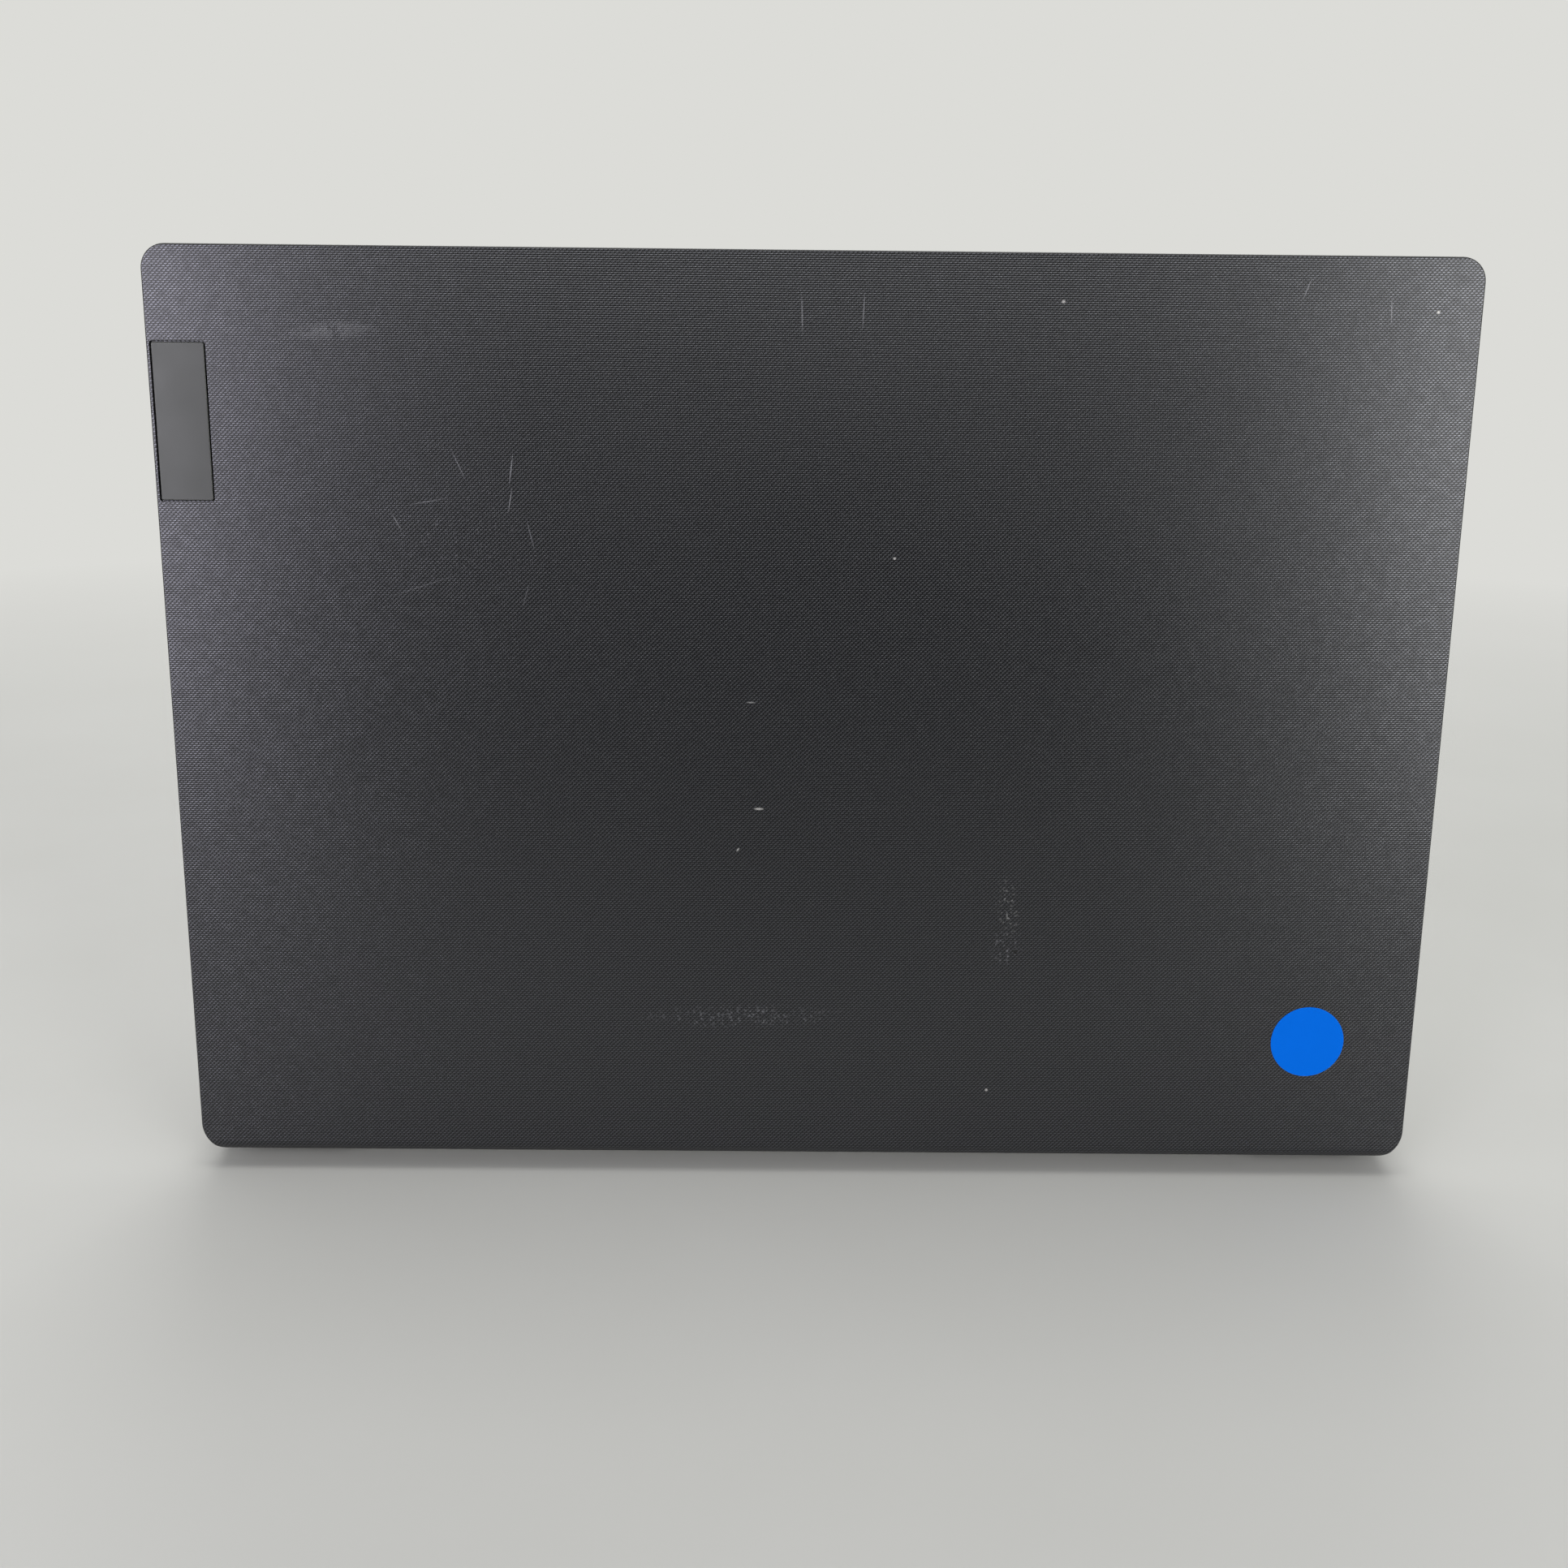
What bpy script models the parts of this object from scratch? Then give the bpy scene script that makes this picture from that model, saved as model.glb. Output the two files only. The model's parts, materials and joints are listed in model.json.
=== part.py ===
"""A 14-inch-class laptop computer, standing open, as separate pieces.

+X is the user's right, +Y the rear, +Z up. The origin is on the table, at the middle of the open
computer's footprint. Base pieces are placed under an empty on the table below the hinge axis, so
their y is counted from that axis and their z from the table. Lid pieces are drawn as if the lid
were shut, counted from the hinge axis itself, and their empty tips them open.
"""

import math

import bmesh
import bpy

MM = 0.001

# Overall sizes.
WIDTH = 327.1 * MM
LID_HEIGHT = 236.0 * MM
CLOSED_HEIGHT = 19.9 * MM
LID_THICKNESS = 6.4 * MM
LID_OPEN = math.radians(86.5)
LID_GAP = 0.6 * MM
FOOT_HEIGHT = 1.5 * MM

# Drop hinge: the axis lies below the shut lid, and the lid's lip hangs behind it.
HINGE_DROP = 3.3 * MM
LID_OVERHANG = 5.5 * MM
LIP_RADIUS = 3.2 * MM
FRONT_LIP = 1.2 * MM

# Walls and clearances.
GAP = 0.3 * MM
LID_WALL = 1.5 * MM
RIM_WALL = 1.2 * MM
SIDE_WALL = 1.6 * MM
REAR_WALL = 1.2 * MM
BOTTOM_WALL = 1.2 * MM
DECK_WALL = 1.3 * MM
WELL_WALL = 1.2 * MM

# Lid.
LID_CORNER = 6.0 * MM
LID_EDGE = 1.0 * MM
BEZEL_THICKNESS = 1.1 * MM
SCREEN_SIDE = 8.35 * MM
SCREEN_TOP = 13.0 * MM
SCREEN_CHIN = 48.0 * MM
PANEL_THICKNESS = 3.2 * MM
PANEL_BORDER = 2.9 * MM
PANEL_FOOT = 8.0 * MM
BADGE_WIDTH = 13.0 * MM
BADGE_HEIGHT = 38.2 * MM
BADGE_THICKNESS = 0.5 * MM
BADGE_SIDE = 1.25 * MM
BADGE_TOP = 23.1 * MM
WEBCAM_WIDTH = 60.0 * MM
WEBCAM_HEIGHT = 5.0 * MM
WEBCAM_TOP = 3.8 * MM
LENS_RADIUS = 1.6 * MM

# Hinges, counted from the middle of the computer outwards.
HINGE_RADIUS = 2.9 * MM
HINGE_CAP_END = 109.7 * MM
HINGE_ARM_END = 123.9 * MM
HINGE_TAIL = 124.8 * MM
KNUCKLE_LENGTH = 10.0 * MM
KNUCKLE_RADIUS = 2.1 * MM
PIN_RADIUS = 1.5 * MM
PIN_CLEARANCE = 0.12 * MM
LEAF_WIDTH = 8.0 * MM
LEAF_THICKNESS = 1.0 * MM
LEAF_LENGTH = 30.0 * MM
BRACKET_LENGTH = 18.0 * MM

# Base.
BASE_CORNER = 8.0 * MM
SIDE_HEIGHT = 7.5 * MM
SIDE_TAPER = 12.5 * MM
FRONT_TAPER = 9.0 * MM
REAR_STEP = 6.2 * MM
DECK_LIP = 4.7 * MM
DECK_CHAMFER = 0.5 * MM

# Keyboard.
KEYBOARD_SIDE = 20.675 * MM
KEYBOARD_REAR = 24.0 * MM
KEY_DEPTH = 18.9 * MM
FUNCTION_DEPTH = 13.0 * MM
KEY_WEB = 3.05 * MM
KEY_CLEARANCE = 0.35 * MM
KEY_PROUD = 0.3 * MM
KEY_HEIGHT = 2.8 * MM
KEY_TRAVEL = 1.4 * MM
KEY_DISH = 0.45 * MM
ARROW_GAP = 0.9 * MM
WELL_DEPTH = 0.8 * MM
WELL_MARGIN = 1.6 * MM
LINK_HEIGHT = 0.7 * MM
LINK_WIDTH = 3.0 * MM
PLATE_THICKNESS = 0.6 * MM

# Touchpad and power button.
TOUCHPAD_WIDTH = 104.0 * MM
TOUCHPAD_SHIFT = -10.0 * MM
TOUCHPAD_THICKNESS = 1.6 * MM
TOUCHPAD_SUNK = 0.2 * MM
PALM_REAR = 9.5 * MM
PALM_FRONT = 20.7 * MM
BUTTON_RADIUS = 5.0 * MM
BUTTON_FLANGE = 0.8 * MM
BUTTON_HEIGHT = 1.6 * MM
BUTTON_SIDE = 29.0 * MM

# Sockets.
PORT_DEPTH = 12.0 * MM
PORT_RISE = 4.3 * MM
CARD_DEPTH = 24.0 * MM
CARD_HALF = 13.6 * MM

# Inside.
FAN_SIZE = 56.0 * MM
FAN_HEIGHT = 4.2 * MM
FAN_X = 95.0 * MM
FAN_Y = -49.0 * MM
FAN_WALL = 0.6 * MM
ROTOR_RADIUS = 23.5 * MM
HUB_RADIUS = 8.0 * MM
ROTOR_CLEARANCE = 0.3 * MM
BLADES = 17
BOARD_THICKNESS = 0.9 * MM
FIN_PITCH = 3.2 * MM
FIN_THICKNESS = 0.5 * MM
FIN_DEPTH = 7.0 * MM
FINS = 16
BATTERY_WIDTH = 206.0 * MM
BATTERY_HEIGHT = 5.5 * MM
PIPE_WIDTH = 7.0 * MM
PIPE_THICKNESS = 1.3 * MM

# Feet.
REAR_FOOT = 20.7 * MM
FRONT_FOOT = 32.0 * MM
FOOT_DEPTH = 7.0 * MM
FOOT_SUNK = 0.5 * MM
REAR_FOOT_X = 105.8 * MM
FRONT_FOOT_X = 112.0 * MM

# Worked out: lid levels and edges, from the hinge axis with the lid shut.
LID_INNER = HINGE_DROP
LID_OUTER = HINGE_DROP + LID_THICKNESS
LID_TOP = LID_OVERHANG - LID_HEIGHT
RIM_LEVEL = LID_INNER + 0.2 * MM
BEZEL_BACK = LID_INNER + BEZEL_THICKNESS
PANEL_FACE = BEZEL_BACK + GAP
SCREEN_X = WIDTH / 2 - SCREEN_SIDE
SCREEN_Y = (LID_TOP + SCREEN_TOP, LID_OVERHANG - SCREEN_CHIN)

# Worked out: base levels from the table, and its edges from the hinge axis.
DECK = CLOSED_HEIGHT - LID_THICKNESS - LID_GAP
AXIS_Z = CLOSED_HEIGHT - LID_THICKNESS - HINGE_DROP
SEAM = DECK - SIDE_HEIGHT
FLOOR = FOOT_HEIGHT + BOTTOM_WALL
FRONT = LID_TOP - FRONT_LIP
CEILING = DECK - DECK_WALL
WELL = DECK - WELL_DEPTH
WELL_CEILING = WELL - WELL_WALL
KEY_TOP = DECK + KEY_PROUD
KEY_BOTTOM = KEY_TOP - KEY_HEIGHT
LINK_TOP = WELL_CEILING - GAP
PLATE_TOP = LINK_TOP - LINK_HEIGHT - KEY_TRAVEL - GAP
BOARD_TOP = PLATE_TOP - PLATE_THICKNESS - 2 * GAP
BOARD_BOTTOM = BOARD_TOP - BOARD_THICKNESS
PORT_Z = DECK - PORT_RISE

# Worked out: the keyboard, and where the hinge axis stands so that the footprint is centred.
KEY_PITCH = (WIDTH - 2 * KEYBOARD_SIDE) / 15
KEYBOARD_FRONT = -KEYBOARD_REAR - FUNCTION_DEPTH - 5 * KEY_DEPTH
WELL_X = WIDTH / 2 - KEYBOARD_SIDE + WELL_MARGIN
WELL_Y = (KEYBOARD_FRONT - WELL_MARGIN, WELL_MARGIN - KEYBOARD_REAR)
CARD_Y = WELL_Y[0] - 4 * GAP - CARD_HALF
BUTTON_BACK = REAR_STEP + REAR_WALL + 2 * GAP + BUTTON_RADIUS + BUTTON_FLANGE
LIP_REACH = (
    (LID_OVERHANG - LIP_RADIUS) * math.cos(LID_OPEN)
    + (LID_OUTER - LIP_RADIUS) * math.sin(LID_OPEN)
    + LIP_RADIUS
)
AXIS_Y = -(FRONT + LIP_REACH) / 2

# Key rows from the rear: the row's name, then each key's name and its width in key pitches.
# A key with a name of its own is a piece of its own; the rest of its row is one piece.
SINGLE_KEYS = {
    "esc", "delete", "backspace", "tab", "caps_lock", "enter", "shift_left", "shift_right",
    "space",
}
KEY_ROWS = [
    ("function", [("esc", 15 / 16)] + [("f", 15 / 16)] * 14 + [("delete", 15 / 16)]),
    ("number", [("digit", 1)] * 13 + [("backspace", 2)]),
    ("upper", [("tab", 1.5)] + [("letter", 1)] * 12 + [("letter", 1.5)]),
    ("home", [("caps_lock", 1.75)] + [("letter", 1)] * 11 + [("enter", 2.25)]),
    ("lower", [("shift_left", 2.25)] + [("letter", 1)] * 10 + [("shift_right", 2.75)]),
    ("bottom", [("modifier", 1.25)] + [("modifier", 1)] * 3 + [("space", 5.25)]
     + [("modifier", 1)] * 2),
]
ARROW_WIDTH = 3.5 / 3

# Sockets on the left side: kind and place behind the front of the hinge axis.
LEFT_PORTS = [
    ("dc_jack", -26 * MM),
    ("usb_port_rear", -46 * MM),
    ("hdmi_port", -69 * MM),
    ("usb_port_middle", -92 * MM),
    ("usb_port_front", -112 * MM),
    ("audio_jack", -129 * MM),
]


def clear_scene():
    """Removes every object, so that only this computer is left."""
    for item in list(bpy.data.objects):
        bpy.data.objects.remove(item)


def material(name, colour, roughness, metallic=0.0):
    """A plain Principled material."""
    made = bpy.data.materials.new(name)
    made.use_nodes = True
    shader = made.node_tree.nodes["Principled BSDF"]
    shader.inputs["Base Color"].default_value = (*colour, 1.0)
    shader.inputs["Roughness"].default_value = roughness
    shader.inputs["Metallic"].default_value = metallic
    return made


def empty(name, location, tilt=0.0):
    """An empty that a body's pieces hang from."""
    made = bpy.data.objects.new(name, None)
    made.location = location
    made.rotation_euler.x = tilt
    bpy.context.collection.objects.link(made)
    return made


# Outlines are lists of (x, y); a shape is a list of equally long loops of 3-D points.


def rounded(x0, x1, y0, y1, radius=0.0, steps=4):
    """A rectangle with round corners, counter-clockwise."""
    if radius <= 0:
        return [(x0, y0), (x1, y0), (x1, y1), (x0, y1)]
    centres = [
        (x1 - radius, y0 + radius, -90),
        (x1 - radius, y1 - radius, 0),
        (x0 + radius, y1 - radius, 90),
        (x0 + radius, y0 + radius, 180),
    ]
    points = []
    for cx, cy, start in centres:
        for step in range(steps + 1):
            turn = math.radians(start + 90 * step / steps)
            points.append((cx + radius * math.cos(turn), cy + radius * math.sin(turn)))
    return points


def circle(x, y, radius, steps=24):
    """A circle's points, counter-clockwise."""
    turns = [2 * math.pi * step / steps for step in range(steps)]
    return [(x + radius * math.cos(turn), y + radius * math.sin(turn)) for turn in turns]


def upright(outline, z0, z1):
    """An outline raised from z0 to z1."""
    return [[(x, y, z) for x, y in outline] for z in (z0, z1)]


def sideways(profile, x0, x1):
    """A profile of (y, z) drawn out from x0 to x1."""
    return [[(x, y, z) for y, z in profile] for x in (x0, x1)]


def block(x, y, z):
    """A box between each pair of limits."""
    return upright(rounded(*sorted(x), *sorted(y)), *sorted(z))


def tapered(x, y, z, inset):
    """A box whose top is smaller by inset all round."""
    low = rounded(*x, *y)
    high = rounded(x[0] + inset, x[1] - inset, y[0] + inset, y[1] - inset)
    waist = z[1] - inset
    return [
        [(a, b, z[0]) for a, b in low],
        [(a, b, waist) for a, b in low],
        [(a, b, z[1]) for a, b in high],
    ]


def mesh_of(name, shapes, origin):
    """One mesh of closed shapes, counted from origin."""
    shell = bmesh.new()
    for loops in shapes:
        rings = [
            [shell.verts.new([p - o for p, o in zip(point, origin)]) for point in loop]
            for loop in loops
        ]
        for low, high in zip(rings, rings[1:]):
            for i, corner in enumerate(low):
                j = (i + 1) % len(low)
                shell.faces.new([corner, low[j], high[j], high[i]])
        shell.faces.new(rings[0][::-1])
        shell.faces.new(rings[-1])
    bmesh.ops.recalc_face_normals(shell, faces=shell.faces)
    made = bpy.data.meshes.new(name)
    shell.to_mesh(made)
    shell.free()
    return made


def piece(name, parent, look, shapes, origin=(0, 0, 0)):
    """A piece of the computer, with its origin where its body turns or slides."""
    made = bpy.data.objects.new(name, mesh_of(name, shapes, origin))
    made.data.materials.append(look)
    made.data.shade_smooth()
    made.data.set_sharp_from_angle(angle=math.radians(35))
    made.parent = parent
    made.location = origin
    bpy.context.collection.objects.link(made)
    return made


def combine(target, operation, shapes):
    """Cuts shapes out of a piece (DIFFERENCE) or adds them to it (UNION)."""
    origin = tuple(target.location)
    label = f"{target.name}_{operation.lower()}_{len(target.modifiers)}"
    tool = bpy.data.objects.new(label, mesh_of(label, shapes, origin))
    tool.parent = target.parent
    tool.location = origin
    tool.hide_render = True
    tool.display_type = "WIRE"
    bpy.context.collection.objects.link(tool)
    change = target.modifiers.new(label, "BOOLEAN")
    change.operation = operation
    change.solver = "EXACT"
    change.object = tool


def cut(target, *shapes):
    """Cuts shapes that don't meet each other out of a piece."""
    combine(target, "DIFFERENCE", shapes)


def join(target, *shapes):
    """Adds shapes that don't meet each other to a piece."""
    combine(target, "UNION", shapes)


def mirrored(shape):
    """The same shape on the other side of the middle."""
    return [[(-x, y, z) for x, y, z in loop] for loop in shape]


def key_cells():
    """Each key as (row name, key name, x limits, y limits), from the rear left."""
    cells = []
    rear = -KEYBOARD_REAR
    for number, (row, keys) in enumerate(KEY_ROWS):
        depth = FUNCTION_DEPTH if number == 0 else KEY_DEPTH
        y = (rear - depth + KEY_WEB / 2, rear - KEY_WEB / 2)
        x = -7.5 * KEY_PITCH
        for key, units in keys:
            end = x + units * KEY_PITCH
            cells.append((row, key, (x + KEY_WEB / 2, end - KEY_WEB / 2), y))
            x = end
        rear -= depth
    return cells


def arrow_cells():
    """The four half-deep arrow keys as (name, x limits, y limits)."""
    y0 = KEYBOARD_FRONT + KEY_WEB / 2
    half = (KEY_DEPTH - KEY_WEB - ARROW_GAP) / 2
    low, high = (y0, y0 + half), (y0 + half + ARROW_GAP, y0 + 2 * half + ARROW_GAP)
    columns = []
    for column in range(3):
        x = (4.0 + column * ARROW_WIDTH) * KEY_PITCH
        columns.append((x + KEY_WEB / 2, x + ARROW_WIDTH * KEY_PITCH - KEY_WEB / 2))
    return [
        ("arrow_left", columns[0], low),
        ("arrow_down", columns[1], low),
        ("arrow_up", columns[1], high),
        ("arrow_right", columns[2], low),
    ]


def grown(limits, by):
    """Limits moved apart by a clearance."""
    return limits[0] - by, limits[1] + by


def build_keys(base, look):
    """Each single key, and each row's other keys linked under the deck."""
    key_z = (KEY_BOTTOM, KEY_TOP)
    runs = {}
    side = "left"
    for row, key, x, y in key_cells():
        if key in SINGLE_KEYS:
            middle = (sum(x) / 2, sum(y) / 2, KEY_BOTTOM)
            piece(f"key_{key}", base, look, [tapered(x, y, key_z, KEY_DISH)], middle)
            side = "right" if key == "space" else side
            continue
        name = f"keys_{row}_{side}" if row == "bottom" else f"keys_{row}_row"
        runs.setdefault(name, []).append((x, y))
    for name, x, y in arrow_cells():
        middle = (sum(x) / 2, sum(y) / 2, KEY_BOTTOM)
        piece(f"key_{name}", base, look, [tapered(x, y, key_z, KEY_DISH)], middle)
    for name, keys in runs.items():
        x = (keys[0][0][0] + KEY_WEB, keys[-1][0][1] - KEY_WEB)
        middle = (sum(x) / 2, sum(keys[0][1]) / 2, KEY_BOTTOM)
        y = (middle[1] - LINK_WIDTH / 2, middle[1] + LINK_WIDTH / 2)
        link = block(x, y, (LINK_TOP - LINK_HEIGHT, LINK_TOP))
        row = piece(name, base, look, [link], middle)
        join(row, *[tapered(a, b, key_z, KEY_DISH) for a, b in keys])


def hinge_profile(top):
    """The round-bottomed section of the hinge bar, up to a level above the axis."""
    arc = [math.pi + math.pi * step / 12 for step in range(13)]
    curve = [(HINGE_RADIUS * math.cos(turn), HINGE_RADIUS * math.sin(turn)) for turn in arc]
    return [(-HINGE_RADIUS, top), *curve, (HINGE_RADIUS, top)]


def build_lid_cover(lid, look):
    """The lid's back, with its rim, its rounded lower lip and the badge's recess."""

    def inset(level, radius):
        depth = max(0.0, level - (LID_OUTER - radius))
        return radius - math.sqrt(max(0.0, radius * radius - depth * depth))

    rings = []
    lip_levels = [LID_OUTER - LIP_RADIUS * (1 - share) for share in (0, 0.3, 0.5)]
    edge_levels = [LID_OUTER - LID_EDGE * (1 - share) for share in (0, 0.5, 0.87, 1)]
    for level in [RIM_LEVEL, *lip_levels, *edge_levels]:
        side, lip = inset(level, LID_EDGE), inset(level, LIP_RADIUS)
        ends = (LID_TOP + side, LID_OVERHANG - lip)
        outline = rounded(side - WIDTH / 2, WIDTH / 2 - side, *ends, LID_CORNER - side)
        rings.append([(x, y, level) for x, y in outline])
    cover = piece("lid_cover", lid, look, [rings])
    inside = rounded(
        RIM_WALL - WIDTH / 2, WIDTH / 2 - RIM_WALL, LID_TOP + RIM_WALL,
        LID_OVERHANG - RIM_WALL, LID_CORNER - RIM_WALL,
    )
    cut(cover, upright(inside, LID_INNER - GAP, LID_OUTER - LID_WALL))
    floor = LID_OUTER - BADGE_THICKNESS - GAP
    cut(cover, block(*badge_area(GAP), (floor, LID_OUTER + GAP)))


def badge_area(margin):
    """The badge plate's x and y limits, with a margin all round."""
    x = WIDTH / 2 - BADGE_SIDE
    y = LID_TOP + BADGE_TOP
    return grown((x - BADGE_WIDTH, x), margin), grown((y, y + BADGE_HEIGHT), margin)


def build_lid(lid, looks):
    """The lid's cover, badge plate, bezel, screen, camera, hinge bar and cable."""
    build_lid_cover(lid, looks["charcoal"])
    x, y = badge_area(0)
    plate = rounded(*x, *y, 0.8 * MM, 2)
    plate = upright(plate, LID_OUTER - BADGE_THICKNESS, LID_OUTER)
    piece("badge_plate", lid, looks["badge"], [plate])

    edge = RIM_WALL + GAP
    outline = rounded(
        edge - WIDTH / 2, WIDTH / 2 - edge, LID_TOP + edge, LID_OVERHANG - edge,
        LID_CORNER - edge,
    )
    bezel = piece("screen_bezel", lid, looks["black"], [upright(outline, LID_INNER, BEZEL_BACK)])
    through = (LID_INNER - GAP, BEZEL_BACK + GAP)
    slot = block(
        grown(leaf_limits(), GAP), (-HINGE_RADIUS - GAP, HINGE_RADIUS + GAP), through
    )
    lens_y = LID_TOP + WEBCAM_TOP + WEBCAM_HEIGHT / 2
    cut(
        bezel,
        block((-SCREEN_X, SCREEN_X), SCREEN_Y, through),
        upright(circle(0, lens_y, LENS_RADIUS + GAP, 16), *through),
        slot,
        mirrored(slot),
    )
    back = PANEL_FACE + PANEL_THICKNESS
    panel_y = (SCREEN_Y[0] - PANEL_BORDER, SCREEN_Y[1] + PANEL_FOOT)
    panel = block(grown((-SCREEN_X, SCREEN_X), PANEL_BORDER), panel_y, (PANEL_FACE, back))
    piece("display_panel", lid, looks["screen"], [panel])

    camera_y = (lens_y - WEBCAM_HEIGHT / 2, lens_y + WEBCAM_HEIGHT / 2)
    board = block((-WEBCAM_WIDTH / 2, WEBCAM_WIDTH / 2), camera_y, (PANEL_FACE, PANEL_FACE + 2 * MM))
    camera = piece("webcam", lid, looks["lens"], [board])
    lens = circle(0, lens_y, LENS_RADIUS, 16)
    join(camera, upright(lens, LID_INNER + 0.4 * MM, PANEL_FACE + 1 * MM))

    bar = sideways(hinge_profile(LID_INNER - GAP), -HINGE_CAP_END, HINGE_CAP_END)
    piece("hinge_cap", lid, looks["black"], [bar])
    cable_y = (panel_y[1] + GAP, -HINGE_RADIUS)
    cable = block((-70 * MM, -58 * MM), cable_y, (PANEL_FACE, PANEL_FACE + 0.5 * MM))
    piece("display_cable", lid, looks["lens"], [cable])


def leaf_limits():
    """The hinge leaf's limits along the lid, on the right."""
    middle = (HINGE_CAP_END + HINGE_ARM_END) / 2
    return middle - LEAF_WIDTH / 2, middle + LEAF_WIDTH / 2


def knuckle_profile():
    """The bracket's round knuckle about the hinge axis, with its foot running forward."""
    rise = math.asin((LEAF_THICKNESS - KNUCKLE_RADIUS) / KNUCKLE_RADIUS)
    start, end = -math.pi / 2, math.pi - rise
    turns = [start + (end - start) * step / 20 for step in range(21)]
    curve = [
        (KNUCKLE_RADIUS * math.cos(turn), AXIS_Z + KNUCKLE_RADIUS * math.sin(turn))
        for turn in turns
    ]
    foot = [curve[-1][1], curve[0][1]]
    return curve + [(-BRACKET_LENGTH, level) for level in foot]


def build_hinges(lid, base, look):
    """On each side a lid arm with its pin, and the base's bracket that holds the pin."""
    knuckle = (HINGE_TAIL + 0.7 * MM, HINGE_TAIL + 0.7 * MM + KNUCKLE_LENGTH)
    arm_x = (HINGE_CAP_END + GAP, HINGE_ARM_END)
    neck = HINGE_RADIUS - 0.4 * MM
    top = PANEL_FACE + LEAF_THICKNESS
    bent = [
        (-neck, 0), (neck, 0), (neck, top), (-LEAF_LENGTH, top), (-LEAF_LENGTH, PANEL_FACE),
        (-neck, PANEL_FACE),
    ]
    barrel = sideways(hinge_profile(LID_INNER - GAP), *arm_x)
    leaf = sideways(bent, *leaf_limits())
    pin = sideways(circle(0, 0, PIN_RADIUS), HINGE_ARM_END - 1 * MM, knuckle[1] + 0.5 * MM)
    ring = sideways(knuckle_profile(), *knuckle)
    bore = sideways(circle(0, AXIS_Z, PIN_RADIUS + PIN_CLEARANCE), *grown(knuckle, GAP))
    for side, turn in (("right", lambda shape: shape), ("left", mirrored)):
        made = piece(f"hinge_arm_{side}", lid, look, [turn(barrel)])
        join(made, turn(leaf))
        join(made, turn(pin))
        bracket = piece(f"hinge_bracket_{side}", base, look, [turn(ring)])
        cut(bracket, turn(bore))


def tail_profile():
    """The deck's rear end beyond each hinge, round about the hinge axis."""
    rise = math.asin((DECK - AXIS_Z) / HINGE_RADIUS)
    turns = [-math.pi / 2 + (rise + math.pi / 2) * step / 10 for step in range(11)]
    curve = [
        (HINGE_RADIUS * math.cos(turn), AXIS_Z + HINGE_RADIUS * math.sin(turn))
        for turn in turns[:-1]
    ]
    end = (HINGE_RADIUS * math.cos(rise), DECK)
    front = -REAR_STEP - REAR_WALL
    return [(front, AXIS_Z - HINGE_RADIUS), *curve, end, (front, DECK)]


def vent_slots():
    """Upright exhaust slots through the base's rear wall, behind the cooling fins."""
    first = FAN_X - FIN_PITCH * (FINS - 1) / 2
    y = (-REAR_STEP - REAR_WALL - GAP, -REAR_STEP + GAP)
    slots = []
    for number in range(FINS - 1):
        x = first + FIN_PITCH * (number + 0.5)
        slots.append(block(grown((x, x), 1.0 * MM), y, (FLOOR + 0.6 * MM, AXIS_Z - 1.2 * MM)))
    return slots


def port_holes():
    """The side walls' openings for plugs and cards."""
    outer, inner = WIDTH / 2 + GAP, WIDTH / 2 - SIDE_WALL - GAP
    holes = []
    for name, y in LEFT_PORTS:
        if name == "dc_jack":
            holes.append(sideways(circle(y, PORT_Z, 3.1 * MM), -outer, -inner))
        elif name == "audio_jack":
            holes.append(sideways(circle(y, PORT_Z, 2.2 * MM), -outer, -inner))
        else:
            width = 15.2 * MM if name == "hdmi_port" else 13.0 * MM
            z = grown((PORT_Z, PORT_Z), 2.6 * MM)
            holes.append(block((-outer, -inner), grown((y, y), width / 2), z))
    card_z = grown((PORT_Z, PORT_Z), 1.4 * MM)
    holes.append(block((inner, outer), grown((CARD_Y, CARD_Y), 12.5 * MM), card_z))
    return holes


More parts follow.
